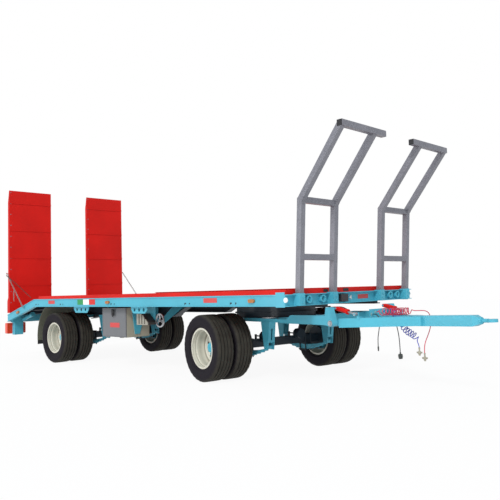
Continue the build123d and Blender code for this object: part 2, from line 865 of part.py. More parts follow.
def air_tank():
    """Brake air reservoir across the frame with its two straps up to a cross member."""
    x, z = tank_x, rail_top_z - cross_height - tank_radius - 22
    half = tank_length / 2
    profile = [(0, -half), (tank_radius - 40, -half), (tank_radius, -half + 36)]
    body = Pos(x, 0, z) * turned(profile + [(r, -y) for r, y in reversed(profile)])
    for y in (-190, 190):
        band = rod((x, y - 20, z), (x, y + 20, z), tank_radius + 5)
        body += band + block(x - 60, x + 60, y - 20, y + 20, z + tank_radius - 6, z + tank_radius + 22 - fit_gap)
    return body


def leaf_spring(x, y):
    """Stack of curved leaves, longest on top with an eye at each end."""
    seat_z = wheel_centre_z - axle_section / 2 - spring_seat
    centre_z = seat_z + spring_radius
    pieces = []
    for i, span in enumerate(leaf_spans):
        outer = spring_radius + leaf_thickness * (i + 1)
        inner = spring_radius + leaf_thickness * i
        sweep = math.degrees(span / spring_radius)
        ends = [math.radians(-90 - sweep), math.radians(-90 + sweep)]
        def at(radius, angle):
            return (x + radius * math.cos(angle), 0, centre_z + radius * math.sin(angle))
        low = ThreePointArc(at(outer, ends[0]), at(outer, math.radians(-90)), at(outer, ends[1]))
        high = ThreePointArc(at(inner, ends[1]), at(inner, math.radians(-90)), at(inner, ends[0]))
        edges = [low, Line(low @ 1, high @ 0), high, Line(high @ 1, low @ 0)]
        leaf = extrude(make_face(edges), leaf_width / 2, dir=(0, 1, 0), both=True)
        pieces.append(Pos(0, y, 0) * leaf)
    spring = fused(pieces)
    for sign in (-1, 1):
        ex, ez = x + sign * spring_half_span, spring_eye_z()
        eye = rod((ex, y - leaf_width / 2, ez), (ex, y + leaf_width / 2, ez), 24)
        bore = rod((ex, y - leaf_width, ez), (ex, y + leaf_width, ez), 14 + fit_gap)
        spring = spring + eye - bore
    return spring


def spring_eye_z():
    """Height of the spring eyes above the ground."""
    seat_z = wheel_centre_z - axle_section / 2 - spring_seat
    rise = spring_radius - math.sqrt(spring_radius ** 2 - spring_half_span ** 2)
    return seat_z + rise + 12


def spring_hanger(x, y, top_z, lean):
    """Folded bracket around a spring eye: two tapered cheeks, a slotted front web and a pin."""
    eye_z = spring_eye_z()
    half = leaf_width / 2 + 5
    low = eye_z - hanger_eye_drop
    outline = [(x - 95 + lean, top_z), (x + 85 + lean, top_z), (x + 38, low), (x - 38, low)]
    pieces = [side_plate(outline, y + s * half, y + s * (half + hanger_wall)) for s in (-1, 1)]
    web = side_plate([
        (x + 85 + lean - hanger_wall, top_z),
        (x + 85 + lean, top_z),
        (x + 50, eye_z + 60),
        (x + 50 - hanger_wall, eye_z + 60),
    ], y - half, y + half)
    slot = block(x - 10, x + 200 + lean, y - 12, y + 12, eye_z + 90, eye_z + 240)
    top = side_plate([
        (x - 95 + lean, top_z),
        (x + 85 + lean, top_z),
        (x + 80 + lean, top_z - hanger_wall),
        (x - 90 + lean, top_z - hanger_wall),
    ], y - half, y + half)
    pin = rod((x, y - half - hanger_wall - 8, eye_z), (x, y + half + hanger_wall + 8, eye_z), 14)
    return fused(pieces + [web - slot, top, pin])


def axle(x):
    """Square axle beam with spring seats and bolts, brake flanges, round spindles and brake gear."""
    half = axle_section / 2
    z = wheel_centre_z
    reach = dual_centre_y - drum_length - 66
    pieces = [block(x - half, x + half, -reach, reach, z - half, z + half)]
    for side, _ in sides:
        y = side * spring_y
        pieces.append(block(x - 70, x + 70, y - 48, y + 48, z - half - seat_thickness, z - half))
        start, end = side * reach, side * (dual_centre_y + 30)
        pieces.append(rod((x, start, z), (x, end, z), spindle_radius))
        pieces.append(rod((x, start, z), (x, side * (reach + 14), z), drum_radius - 20))
        pieces += spring_bolts(x, y) + brake_gear(x, side, reach)
    return fused(pieces)


def spring_bolts(x, y):
    """Two bows over the axle beam and the plate that they clamp under the leaves."""
    half = axle_section / 2 + bolt_radius - 2
    top = wheel_centre_z + half
    leaves = leaf_thickness * len(leaf_spans)
    low = wheel_centre_z - axle_section / 2 - spring_seat - leaves - 0.6
    pieces = [block(x - half - 16, x + half + 16, y - 64, y + 64, low - 14, low)]
    for offset in (-1, 1):
        bow_y = y + offset * (leaf_width / 2 + bolt_radius + 3)
        bow_reach = half + bolt_radius + 3
        pieces.append(rod((x - bow_reach, bow_y, top), (x + bow_reach, bow_y, top), bolt_radius + 2))
        for end in (-1, 1):
            pieces.append(rod((x + end * half, bow_y, low - 30), (x + end * half, bow_y, top), bolt_radius))
    return pieces


def brake_gear(x, side, reach):
    """Brake chamber before the axle, its rod and lever, and the cam shaft out to the drum."""
    y = side * chamber_y
    z = wheel_centre_z + chamber_lift
    shaft_x = x - axle_section / 2 - 45
    return [
        rod((x + 75, y, z), (x + 190, y, z), chamber_radius),
        rod((x + 126, y, z), (x + 140, y, z), chamber_radius + 9),
        block(x + 40, x + 90, y - 30, y + 30, wheel_centre_z + 20, z),
        rod((shaft_x, y, z), (x + 80, y, z), 9),
        block(shaft_x - 8, shaft_x + 8, y - 14, y + 14, wheel_centre_z - 22, z + 22),
        rod((shaft_x, y, wheel_centre_z), (shaft_x, side * (reach + 2), wheel_centre_z), 16),
    ]


def turned(outline):
    """Ring turned about the Y axis from (radius, y) points."""
    return revolve(make_face(Polyline(*[(r, y, 0) for r, y in outline], close=True)), Axis.Y)


def polygon_at(y, apothem):
    """Regular outline across the wheel's axis, with a flat at its lowest point."""
    plane = Plane(origin=(0, y, 0), x_dir=(1, 0, 0), z_dir=(0, 1, 0))
    return plane * RegularPolygon(apothem, tyre_sides, major_radius=False, rotation=180 / tyre_sides)


def tyre():
    """Low-profile tyre about the Y axis in flat facets, centred on its own middle plane."""
    half = tyre_width / 2
    outer = tyre_diameter / 2
    bead = rim_half_width - 2
    stations = [(half, tyre_bead_radius + 77), (half - 9, outer - 24), (tread_width / 2 - 18, outer)]
    stations += [(-y, r) for y, r in reversed(stations)]
    body = loft([polygon_at(y, r) for y, r in stations], ruled=True)
    for sign in (-1, 1):
        body -= loft([polygon_at(sign * bead, rim_flange_radius + 3), polygon_at(sign * half, tyre_bead_radius + 77)], ruled=True)
    return body - extrude(polygon_at(-half, tyre_bead_radius), 2 * half, dir=(0, 1, 0))


def wheel_rims():
    """Two rims back to back with dished discs and hand holes, from the dual's centre plane."""
    rims = []
    shift = dual_spacing / 2
    edge = rim_half_width
    base = tyre_bead_radius - fit_gap
    inner = base - rim_wall
    for sign in (-1, 1):
        profile = [
            (base, -edge + 2), (rim_flange_radius, -edge + 2), (rim_flange_radius, -edge - 4), (inner, -edge - 4),
            (inner, edge + 4), (rim_flange_radius, edge + 4), (rim_flange_radius, edge - 2), (base, edge - 2),
        ]
        ring = turned([(r, y + sign * shift) for r, y in profile])
        disc = turned([(r, sign * y) for r, y in (
            (hub_radius - 12, 0), (186, 0), (inner + 2, 58), (inner + 2, 92), (inner - 14, 62),
            (180, disc_thickness), (hub_radius - 12, disc_thickness),
        )])
        rims.append(ring + disc)
    pair = rims[0] + rims[1]
    for i in range(hand_hole_count):
        turn = math.radians(360 * (i + 0.5) / hand_hole_count)
        x, z = hand_hole_circle * math.cos(turn), hand_hole_circle * math.sin(turn)
        pair = pair - rod((x, -90, z), (x, 90, z), hand_hole_radius)
    return pair


def wheel_hub(sign):
    """Hub with its cap outside the discs and the brake drum inside, bored for the spindle."""
    face = disc_thickness + fit_gap
    hub = rod((0, sign * -face, 0), (0, sign * (hub_length - 50), 0), hub_radius - 12 - fit_gap)
    shoulder = rod((0, sign * face, 0), (0, sign * (face + 34), 0), hub_radius + 26)
    cap = rod((0, sign * (hub_length - 50), 0), (0, sign * (hub_length - 50 + hub_cap_length), 0), hub_cap_radius)
    drum = rod((0, sign * -face, 0), (0, sign * -(face + drum_length), 0), drum_radius - 10)
    hollow = rod((0, sign * -(face + 60), 0), (0, sign * -(face + drum_length + 1), 0), drum_radius - 19)
    bore = rod((0, sign * -300, 0), (0, sign * 34, 0), spindle_radius + fit_gap)
    return fused([hub, shoulder, cap, drum]) - hollow - bore


def turntable_ring(low, high):
    """Plain bearing ring about the steering axis."""
    outer = Pos(0, 0, (low + high) / 2) * Cylinder(ring_outer_radius, high - low)
    inner = Pos(0, 0, (low + high) / 2) * Cylinder(ring_inner_radius, high - low + 2)
    flange = Pos(0, 0, high - 8) * Cylinder(ring_outer_radius + 24, 16)
    flange = flange - Pos(0, 0, high - 8) * Cylinder(ring_inner_radius, 18)
    return outer - inner + flange


def bogie_frame():
    """Bogie frame: two side members with raised noses and hinge lugs, joined by cross members."""
    low = bogie_top_z - bogie_rail_height
    nose_top = low + bogie_nose_height
    pieces = []
    for side, _ in sides:
        y0 = side * (hinge_y - bogie_rail_width / 2)
        y1 = side * (hinge_y + bogie_rail_width / 2)
        outline = [
            (bogie_back_x, low),
            (bogie_back_x, bogie_top_z),
            (bogie_nose_start, bogie_top_z),
            (bogie_nose_start + 80, nose_top - 6),
            (strut_pivot_x - 48, nose_top),
            (strut_pivot_x - 30, strut_pivot_z + 18),
            (strut_pivot_x + 24, strut_pivot_z + 18),
            (hinge_x + 20, hinge_z + hinge_barrel_radius + 30),
            (hinge_x + hinge_barrel_radius, hinge_z + 8),
            (hinge_x + hinge_barrel_radius, hinge_z),
            (hinge_x, hinge_z - hinge_barrel_radius),
            (hinge_x - 110, low - 6),
            (bogie_nose_start, low - 8),
            (bogie_nose_start - 160, low),
        ]
        pieces.append(side_plate(outline, y0, y1))
        pieces.append(rod((hinge_x, y0, hinge_z), (hinge_x, y1, hinge_z), hinge_barrel_radius))
        pin_in = side * (hinge_y - bogie_rail_width / 2 - lug_thickness - 78)
        pieces.append(rod((hinge_x, y1, hinge_z), (hinge_x, pin_in, hinge_z), hinge_pin_radius))
        pivot_in = side * (strut_y - 34)
        pieces.append(rod((strut_pivot_x, y0, strut_pivot_z), (strut_pivot_x, pivot_in, strut_pivot_z), strut_pin_radius))
    reach = hinge_y - bogie_rail_width / 2
    for x0, x1, z0, z1 in ((-560, -440, low, bogie_top_z), (440, 560, low, bogie_top_z), (1180, 1270, low, nose_top - 12)):
        pieces.append(block(x0, x1, -reach, reach, z0, z1))
    return fused(pieces)


def drawbar():
    """A-frame drawbar: two converging arms with hinge barrels, a brace, a beam and a towing eye."""
    low = arm_bottom_z
    high = arm_bottom_z + arm_height
    middle = (low + high) / 2
    barrel_y = hinge_y - bogie_rail_width / 2 - ramp_side_gap
    pieces = []
    for side, _ in sides:
        root_y = barrel_y - 38
        start_x = hinge_x + hinge_barrel_radius + 8
        slope = (root_y - beam_width / 2) / (arm_join_x - start_x)
        half = arm_width / 2 / math.cos(math.atan(slope))
        outline = [
            (start_x, side * (root_y + half)),
            (start_x, side * (root_y - half)),
            (arm_join_x, side * (beam_width / 2 - half)),
            (arm_join_x, side * (beam_width / 2 + half)),
        ]
        pieces.append(top_plate(outline, low, high))
        pieces.append(block(hinge_x, start_x + 12, side * (root_y - 30), side * (root_y + 30), hinge_z - 34, hinge_z + 34))
        pieces.append(rod((hinge_x, side * (barrel_y - 74), hinge_z), (hinge_x, side * barrel_y, hinge_z), hinge_barrel_radius))
        arm_y = root_y - slope * (strut_end_x - start_x)
        pieces.append(block(strut_end_x - 26, strut_end_x + 26, side * (arm_y - 20), side * (strut_y - 26), high - 20, high + 12))
        ear = block(strut_end_x - 18, strut_end_x + 18, side * (strut_y - 38), side * (strut_y - 26), high - 20, strut_end_z + 18)
        pieces.append(ear)
        pieces.append(rod((strut_end_x, side * (strut_y - 36), strut_end_z), (strut_end_x, side * (strut_y + 22), strut_end_z), strut_pin_radius))
    brace_y = root_y - slope * (brace_x - start_x)
    pieces.append(block(brace_x, brace_x + brace_depth, -brace_y, brace_y, low + 12, high - 8))
    gusset_start, gusset_end = arm_join_x - gusset_back, arm_join_x - gusset_front
    gusset = [(gusset_start, -gusset_half), (gusset_end, -120), (gusset_end, 120), (gusset_start, gusset_half)]
    pieces.append(top_plate(gusset, high - 10, high + 4))
    beam_low = middle - drawbar_beam_height / 2
    beam_high = middle + drawbar_beam_height / 2
    half = beam_width / 2
    pieces.append(block(drawbar_beam_start, drawbar_beam_end - 70, -half, half, beam_low, beam_high))
    neck = loft([
        Plane.YZ.offset(drawbar_beam_end - 70) * Pos(0, middle) * Rectangle(beam_width, drawbar_beam_height),
        Plane.YZ.offset(drawbar_beam_end) * Pos(0, middle) * Rectangle(56, 60),
    ])
    pieces.append(neck)
    pieces.append(rod((drawbar_beam_end - 20, 0, middle), (eye_centre_x - eye_outer_radius + 12, 0, middle), eye_shank_radius))
    pieces.append(Pos(eye_centre_x, 0, middle) * Cylinder(eye_outer_radius, eye_thickness))
    frame = fused(pieces)
    for side, _ in sides:
        frame = frame - rod((hinge_x, side * 300, hinge_z), (hinge_x, side * 700, hinge_z), hinge_pin_radius + fit_gap)
    return frame - Pos(eye_centre_x, 0, middle) * Cylinder(eye_bore_radius, eye_thickness + 2)


def strut_line(side):
    """Pivot and end of a spring strut."""
    rise = math.radians(drawbar_rise)
    dx, dz = strut_end_x - hinge_x, strut_end_z - hinge_z
    end_x = hinge_x + dx * math.cos(rise) - dz * math.sin(rise)
    end_z = hinge_z + dx * math.sin(rise) + dz * math.cos(rise)
    return Vector(strut_pivot_x, side * strut_y, strut_pivot_z), Vector(end_x, side * strut_y, end_z)


def strut_barrel(side):
    """Outer tube of a spring strut with its eye on the bogie's pin."""
    start, end = strut_line(side)
    along = (end - start).normalized()
    tube = rod(start + along * 14, start + along * strut_barrel_length, strut_barrel_radius)
    collar = rod(start + along * (strut_barrel_length - 16), start + along * strut_barrel_length, strut_barrel_radius + 5)
    eye = rod(start - Vector(0, 22, 0), start + Vector(0, 22, 0), 20)
    pin = rod(start - Vector(0, 30, 0), start + Vector(0, 30, 0), strut_pin_radius + fit_gap)
    bore = rod(start + along * 34, start + along * (strut_barrel_length + 1), strut_rod_radius + fit_gap)
    return fused([tube, collar, eye]) - pin - bore


def strut_rod(side):
    """Sliding rod of a spring strut with its eye on the drawbar's pin."""
    start, end = strut_line(side)
    along = (end - start).normalized()
    stem = rod(start + along * strut_rod_start, end - along * 12, strut_rod_radius)
    eye = rod(end - Vector(0, 20, 0), end + Vector(0, 20, 0), 19)
    pin = rod(end - Vector(0, 30, 0), end + Vector(0, 30, 0), strut_pin_radius + 2.0)
    return stem + eye - pin


def hose_bracket():
    """Upright plate on the drawbar's brace with a gland for each line."""
    top = arm_bottom_z + arm_height - 8 + fit_gap
    x0 = brace_x + brace_depth - 8
    plate = block(x0, x0 + 8, -150, 146, top, top + 98) + block(brace_x, x0, -120, 120, top, top + 8)
    for route, _ in hoses.values():
        x, y, z = route[0]
        if x == line_gland_x:
            plate += rod((x0 + 2, y, z), (x - fit_gap, y, z), line_gland_radius)
    return plate


def hose(route, diameter):
    """Round tube along straight runs joined by the largest arcs that fit."""
    points = [Vector(*p) for p in route]
    radii = []
    for before, at, after in zip(points, points[1:], points[2:]):
        turn = math.radians((at - before).get_angle(after - at))
        run = min((at - before).length, (after - at).length)
        radii.append(0.45 * run / math.tan(turn / 2))
    print("arc radii", [round(r) for r in radii], "length", round(sum((b - a).length for a, b in zip(points, points[1:]))))
    path = FilletPolyline(*points, radius=radii)
    start = Plane(origin=path @ 0, z_dir=path % 0)
    return sweep(start * Circle(diameter / 2), path=path)


def coupling(name):
    """Fitting at a line's free end: a winged coupling head, a plug box or a small socket."""
    route, diameter = hoses[name]
    x, y, z = route[-1]
    z -= fit_gap
    if name in ("red_hose_tail", "blue_air_hose"):
        neck = rod((x, y, z), (x, y, z - 46), 9)
        wings = block(x - 38, x + 38, y - 9, y + 9, z - 62, z - 44)
        return neck + wings + rod((x, y, z - 40), (x, y, z - 88), 17)
    if name == "lamp_cable":
        return rod((x, y, z), (x, y, z - 24), 9) + block(x - 22, x + 22, y - 19, y + 19, z - 78, z - 20)
    return rod((x, y, z), (x, y, z - 58), 10)


def on_drawbar(shape):
    """Drawbar piece raised by its rest angle about the hinge."""
    return Pos(hinge_x, 0, hinge_z) * Rot(0, -drawbar_rise, 0) * Pos(-hinge_x, 0, -hinge_z) * shape


def on_bogie(shape):
    """Bogie piece turned by the steering angle about the turntable's centre."""
    return Pos(front_axle_x, 0, 0) * Rot(0, 0, steer_angle) * shape


nodes = {}
nodes["main_beams"] = [main_beam(side) for side, _ in sides]
nodes["cross_members"] = frame_members()
nodes["side_rails"] = [side_rail(side) for side, _ in sides]
nodes["front_beam"] = [front_beam()]
nodes["rear_beam"] = [rear_beam()]
nodes["deck_floor"] = [deck_floor()]
nodes["kerbs"] = [kerb(side) for side, _ in sides] + [front_kerb()]
nodes["frame_sockets"] = [frame_socket(y) for y in post_ys]
nodes["ramp_ears"] = ramp_ears()
nodes["rear_lamps"] = [rear_lamp(side) for side, _ in sides]
nodes["mudguards"] = [mudguard(side) for side, _ in sides]
nodes["mud_flaps"] = [mud_flap(side) for side, _ in sides]
nodes["tool_box"] = [tool_box()]
nodes["tool_box_door"] = [tool_box_door()]
nodes["outriggers"] = [outrigger(-tool_box_back - 12 - fit_gap), outrigger(-tool_box_front + fit_gap)]
chock, chock_plate = chock_parts()
nodes["wheel_chock"] = [chock]
nodes["outriggers"] += [chock_plate, brake_bracket()]
nodes["brake_wheel"] = [brake_wheel()]
nodes["air_tank"] = [air_tank()]
nodes["side_markers"] = side_markers()
nodes["spring_canisters"] = [spring_canister(side) for side, _ in sides]
nodes["turntable_upper"] = [Pos(front_axle_x, 0, 0) * turntable_ring(ring_split_z + fit_gap, beam_front_bottom_z - fit_gap)]
nodes["rear_axle"] = [axle(rear_axle_x)]
nodes["rear_springs"] = [leaf_spring(rear_axle_x, side * spring_y) for side, _ in sides]
nodes["rear_hangers"] = [
    spring_hanger(rear_axle_x + end * spring_half_span, side * spring_y, beam_deep_bottom_z - fit_gap, -60 if end > 0 else 0)
    for side, _ in sides for end in (-1, 1)
]
for side, word in sides:
    nodes["bale_frame_" + word] = [bale_frame(side)]
    nodes["ramp_" + word] = [ramp(side)]
    nodes["ramp_chain_" + word] = ramp_chain(side)
    nodes["strut_barrel_" + word] = [on_bogie(strut_barrel(side))]
    nodes["strut_rod_" + word] = [on_bogie(strut_rod(side))]
nodes["turntable_lower"] = [on_bogie(turntable_ring(bogie_top_z, ring_split_z))]
nodes["bogie_frame"] = [on_bogie(bogie_frame())]
nodes["front_axle"] = [on_bogie(axle(0))]
nodes["front_springs"] = [on_bogie(leaf_spring(0, side * spring_y)) for side, _ in sides]
nodes["front_hangers"] = [
    on_bogie(spring_hanger(end * spring_half_span, side * spring_y, bogie_top_z - bogie_rail_height - fit_gap, 0))
    for side, _ in sides for end in (-1, 1)
]
nodes["drawbar"] = [on_bogie(on_drawbar(drawbar()))]
nodes["hose_bracket"] = [on_bogie(on_drawbar(hose_bracket()))]
for name, (route, diameter) in hoses.items():
    nodes[name] = [on_bogie(on_drawbar(hose(route, diameter)))]
ended_lines = [name for name in hoses if name != "red_air_hose"]
nodes["line_couplings"] = [on_bogie(on_drawbar(coupling(name))) for name in ended_lines]

rims = wheel_rims()
for end, place in (("front", on_bogie), ("rear", lambda shape: Pos(rear_axle_x, 0, 0) * shape)):
    for side, word in sides:
        centre = Pos(0, side * dual_centre_y, wheel_centre_z)
        pair = [centre * Pos(0, sign * dual_spacing / 2, 0) * tyre() for sign in (-1, 1)]
        nodes[f"tyres_{end}_{word}"] = [place(piece) for piece in pair]
        nodes[f"rims_{end}_{word}"] = [place(centre * rims)]
        nodes[f"hub_{end}_{word}"] = [place(centre * wheel_hub(side))]

front_tip = front_axle_x + eye_centre_x * math.cos(math.radians(steer_angle)) + eye_outer_radius
rear_tip = lamp_front_x - lamp_depth
origin_x = (front_tip + rear_tip) / 2

os.makedirs("parts", exist_ok=True)
for name, solids in nodes.items():
    placed = [Pos(-origin_x, 0, 0) * solid for solid in solids]
    export_step(Compound(children=placed), "parts/" + name + ".step")
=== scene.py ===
import bmesh
import bpy
import math
from mathutils import Matrix, Vector


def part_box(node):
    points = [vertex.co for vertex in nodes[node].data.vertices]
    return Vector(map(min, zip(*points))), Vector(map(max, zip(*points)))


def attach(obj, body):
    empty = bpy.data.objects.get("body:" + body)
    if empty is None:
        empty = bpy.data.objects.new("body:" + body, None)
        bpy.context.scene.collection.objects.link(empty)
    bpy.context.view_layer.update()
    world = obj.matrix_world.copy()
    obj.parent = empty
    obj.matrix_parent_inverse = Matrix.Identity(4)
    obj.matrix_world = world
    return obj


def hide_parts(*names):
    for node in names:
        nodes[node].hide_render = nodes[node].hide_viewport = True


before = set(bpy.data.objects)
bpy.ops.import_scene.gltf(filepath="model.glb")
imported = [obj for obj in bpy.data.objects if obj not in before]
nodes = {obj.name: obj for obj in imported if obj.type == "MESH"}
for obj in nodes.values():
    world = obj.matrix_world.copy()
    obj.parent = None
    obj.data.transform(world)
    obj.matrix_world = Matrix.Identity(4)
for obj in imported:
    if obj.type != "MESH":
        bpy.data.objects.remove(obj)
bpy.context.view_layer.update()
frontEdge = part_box("front_beam")[1].x  # stations count back from the platform's front edge
print("frame loaded:", len(nodes), "nodes")

# metres from the platform's front edge, its middle line and the ground; turns in degrees
layout = {
    "frontAxle": -1.440, "rearAxle": -5.663, "wheelCentre": 0.433, "dualCentre": 0.990, "dualSpacing": 0.295,
    "steer": -8.0, "drawbarRise": 1.4, "hinge": (1.733, 0, 0.760),
    "halfWidth": 1.275, "railTop": 1.108, "flatLength": 6.371, "tailRun": 1.175, "rampFace": -7.488,
}
sideWords = ((-1, "right"), (1, "left"))

chassisPlace = Matrix.Translation((frontEdge, 0, 0))
bogieTurn = Matrix.Rotation(math.radians(layout["steer"]), 4, "Z")
bogiePlace = chassisPlace @ Matrix.Translation((layout["frontAxle"], 0, 0)) @ bogieTurn
hingePlace = Matrix.Translation(layout["hinge"])
drawbarTurn = Matrix.Rotation(math.radians(-layout["drawbarRise"]), 4, "Y")
drawbarPlace = bogiePlace @ hingePlace @ drawbarTurn @ hingePlace.inverted()
rearPlace = chassisPlace @ Matrix.Translation((layout["rearAxle"], 0, 0))

# the photo's own perspective: metres and degrees, then pixels of a 500 x 500 picture
cameraFit = {
    "place": (4.719, -6.299, 1.202), "yaw": 43.481, "pitch": 3.730, "roll": -1.814,
    "focal": 615.586, "centre": (283.675, 246.165), "size": 500, "sensor": 36, "reach": 200,
}


def makeCamera():
    yaw, pitch, roll = (math.radians(cameraFit[key]) for key in ("yaw", "pitch", "roll"))
    ahead = Vector((-math.sin(yaw) * math.cos(pitch), math.cos(yaw) * math.cos(pitch), math.sin(pitch)))
    right = ahead.cross(Vector((0, 0, 1))).normalized()
    up = right.cross(ahead)
    right, up = right * math.cos(roll) + up * math.sin(roll), up * math.cos(roll) - right * math.sin(roll)
    data = bpy.data.cameras.new("photoCamera")
    data.sensor_width = cameraFit["sensor"]
    data.lens = cameraFit["focal"] * data.sensor_width / cameraFit["size"]
    data.shift_x = (cameraFit["size"] / 2 - cameraFit["centre"][0]) / cameraFit["size"]
    data.shift_y = (cameraFit["centre"][1] - cameraFit["size"] / 2) / cameraFit["size"]
    data.clip_end = cameraFit["reach"]
    camera = bpy.data.objects.new("photoCamera", data)
    place = chassisPlace @ Vector(cameraFit["place"])
    camera.matrix_world = Matrix.Translation(place) @ Matrix((right, up, -ahead)).transposed().to_4x4()
    bpy.context.scene.collection.objects.link(camera)
    bpy.context.scene.camera = camera


makeCamera()
print("camera placed")


class Wire:
    # a shader socket that takes part in plain sums
    def __init__(self, finish, socket):
        self.finish = finish
        self.socket = socket

    def math(self, operation, other=0.0, swapped=False):
        values = (other, self) if swapped else (self, other)
        return self.finish.add("ShaderNodeMath", {"operation": operation}, dict(enumerate(values)))

    def sibling(self, output):
        # another output of the same node
        return Wire(self.finish, self.socket.node.outputs[output])

    def between(self, low, high):
        return (self > low) * (self < high)

    def __add__(self, other):
        return self.math("ADD", other)

    def __sub__(self, other):
        return self.math("SUBTRACT", other)

    def __rsub__(self, other):
        return self.math("SUBTRACT", other, True)

    def __mul__(self, other):
        return self.math("MULTIPLY", other)

    def __truediv__(self, other):
        return self.math("DIVIDE", other)

    def __rtruediv__(self, other):
        return self.math("DIVIDE", other, True)

    def __gt__(self, other):
        return self.math("GREATER_THAN", other)

    def __lt__(self, other):
        return self.math("LESS_THAN", other)

    __radd__ = __add__
    __rmul__ = __mul__


class Finish:
    # one node tree: nodes come from add(), and what varies goes to surface()
    def __init__(self, name, owner=None):
        self.material = owner or bpy.data.materials.new(name)
        self.material.use_nodes = True
        self.tree = self.material.node_tree
        self.tree.nodes.clear()

    def add(self, kind, settings=None, inputs=None, output=0):
        node = self.tree.nodes.new(kind)
        for key, value in (settings or {}).items():
            setattr(node, key, value)
        for key, value in (inputs or {}).items():
            if isinstance(value, Wire):
                self.tree.links.new(value.socket, node.inputs[key])
            else:
                node.inputs[key].default_value = value
        return Wire(self, node.outputs[output]) if node.outputs else None

    def point(self):
        return self.add("ShaderNodeTexCoord", output="Object")

    def axes(self, point):
        x = self.add("ShaderNodeSeparateXYZ", None, {0: point}, "X")
        return x, x.sibling("Y"), x.sibling("Z")

    def noise(self, point, scale, detail=3.0, roughness=0.55):
        return self.add("ShaderNodeTexNoise", None,
                        {"Vector": point, "Scale": scale, "Detail": detail, "Roughness": roughness})

    def stretched(self, point, scales):
        return self.add("ShaderNodeVectorMath", {"operation": "MULTIPLY"}, {0: point, 1: scales})

    def clamped(self, value, low, high):
        return self.add("ShaderNodeMapRange", None, {"Value": value, "From Min": low, "From Max": high})

    def mix(self, share, first, second):
        first, second = ((*c, 1) if isinstance(c, tuple) else c for c in (first, second))
        return self.add("ShaderNodeMix", {"data_type": "RGBA"}, {0: share, 6: first, 7: second}, 2)

    def bump(self, height, distance, strength=0.5):
        return self.add("ShaderNodeBump", None, {"Height": height, "Distance": distance, "Strength": strength})

    def surface(self, **values):
        names = {"colour": "Base Color", "roughness": "Roughness", "metallic": "Metallic", "coat": "Coat Weight",
                 "normal": "Normal", "coatRoughness": "Coat Roughness", "specular": "Specular IOR Level"}
        return self.finishWith(self.add("ShaderNodeBsdfPrincipled", None,
                                        {names[key]: value for key, value in values.items()}))

    def finishWith(self, shader, end="ShaderNodeOutputMaterial"):
        self.add(end, None, {"Surface": shader})
        return self.material


def toned(colour, factor):
    return tuple(min(1.0, channel * factor) for channel in colour)


palette = {
    # the near black navy under the deck is partly the tank's and turntable's own dark finish and partly painted shade
    # on the beams, cross members and axles
    "skyBlue": (0.072, 0.400, 0.520), "red": (0.600, 0.009, 0.005), "darkFrameAndShade": (0.008, 0.020, 0.032),
    "zinc": (0.195, 0.195, 0.220), "cream": (0.620, 0.595, 0.500), "guard": (0.145, 0.150, 0.112),
    "boxGrey": (0.150, 0.155, 0.165), "boxCream": (0.385, 0.365, 0.280), "fitting": (0.360, 0.335, 0.260),
    "plug": (0.060, 0.066, 0.062), "hoseRed": (0.560, 0.018, 0.060), "hoseBlue": (0.045, 0.060, 0.420),
    # the near black opening tone is painted shade for holes that are not cut
    "cable": (0.016, 0.016, 0.020), "flap": (0.018, 0.018, 0.020), "opening": (0.004, 0.004, 0.005),
    "plateRed": (0.560, 0.050, 0.050), "stripeGreen": (0.010, 0.260, 0.065), "stripeWhite": (0.80, 0.80, 0.78),
    "sideRubber": ((0.0070, 0.0050, 0.0090), (0.0130, 0.0110, 0.0140)),
    "treadRubber": ((0.026, 0.024, 0.019), (0.046, 0.042, 0.033)),
    # the dark brown tone for the rims' recesses is painted shade
    "recessShadeTone": (0.150, 0.145, 0.105), "rust": (0.13, 0.08, 0.05),
}


def paint(name, colour, roughness=0.40, coat=0.10, fade=0.86, dust=(0.30, 0.29, 0.27), dustShare=0.10):
    # sprayed paint: slow drift of tone, orange peel, a little dust low down and in blotches
    finish = Finish(name)
    point = finish.point()
    _, _, height = finish.axes(point)
    drift = finish.noise(point, 1.6, 4.0)
    grain = finish.noise(point, 34.0, 2.0)
    tone = finish.mix(finish.clamped(drift + grain * 0.25, 0.45, 0.85), colour, toned(colour, fade))
    low = 1 - finish.clamped(height, 0.25, 1.0)
    blotch = finish.clamped(finish.noise(point, 7.0, 5.0), 0.48, 0.78)
    dirty = finish.mix((low * 0.7 + 0.3) * blotch * dustShare, tone, dust)
    peel = finish.noise(point, 260.0, 2.0)
    return finish.surface(
        colour=dirty, roughness=finish.clamped(grain, 0.2, 0.8) * 0.10 + roughness + blotch * 0.08, coat=coat,
        coatRoughness=0.12, specular=0.30, normal=finish.bump(peel, 0.0008, 0.25),
    )


blueFinish = paint("skyBluePaint", palette["skyBlue"])
creamFinish = paint("creamWheelPaint", palette["cream"], 0.38, 0.2, 0.82, (0.16, 0.14, 0.11), 0.35)
# near black underframe paint: partly the parts' own dark finish, partly painted shade under the deck
darkPaintAndShadeFinish = paint("darkChassisPaintAndShade", palette["darkFrameAndShade"], 0.5, 0.1, 0.7, (0.06, 0.06, 0.06), 0.15)
guardFinish = paint("oliveGuardPaint", palette["guard"], 0.6, 0.0, 0.8, (0.2, 0.18, 0.14), 0.3)
boxGreyFinish = paint("boxGreyPaint", palette["boxGrey"], 0.45, 0.1, 0.92)
boxCreamFinish = paint("boxCreamPaint", palette["boxCream"], 0.45, 0.1, 0.92)
fittingFinish = paint("paleFitting", palette["fitting"], 0.42, 0.1, 0.8)
plugFinish = paint("greyPlug", palette["plug"], 0.55, 0.0, 0.8)
print("paints mixed")

# heights of the scuffed deck and of its plate seams, which repeat along it
deckWear = {
    "scuffs": (1.05, 1.13), "scuffTone": (0.16, 0.03, 0.02), "seams": (1.115, 1.13), "seamStart": 20.0,
    "seamPitch": 1.5, "seamShare": 0.004,
}


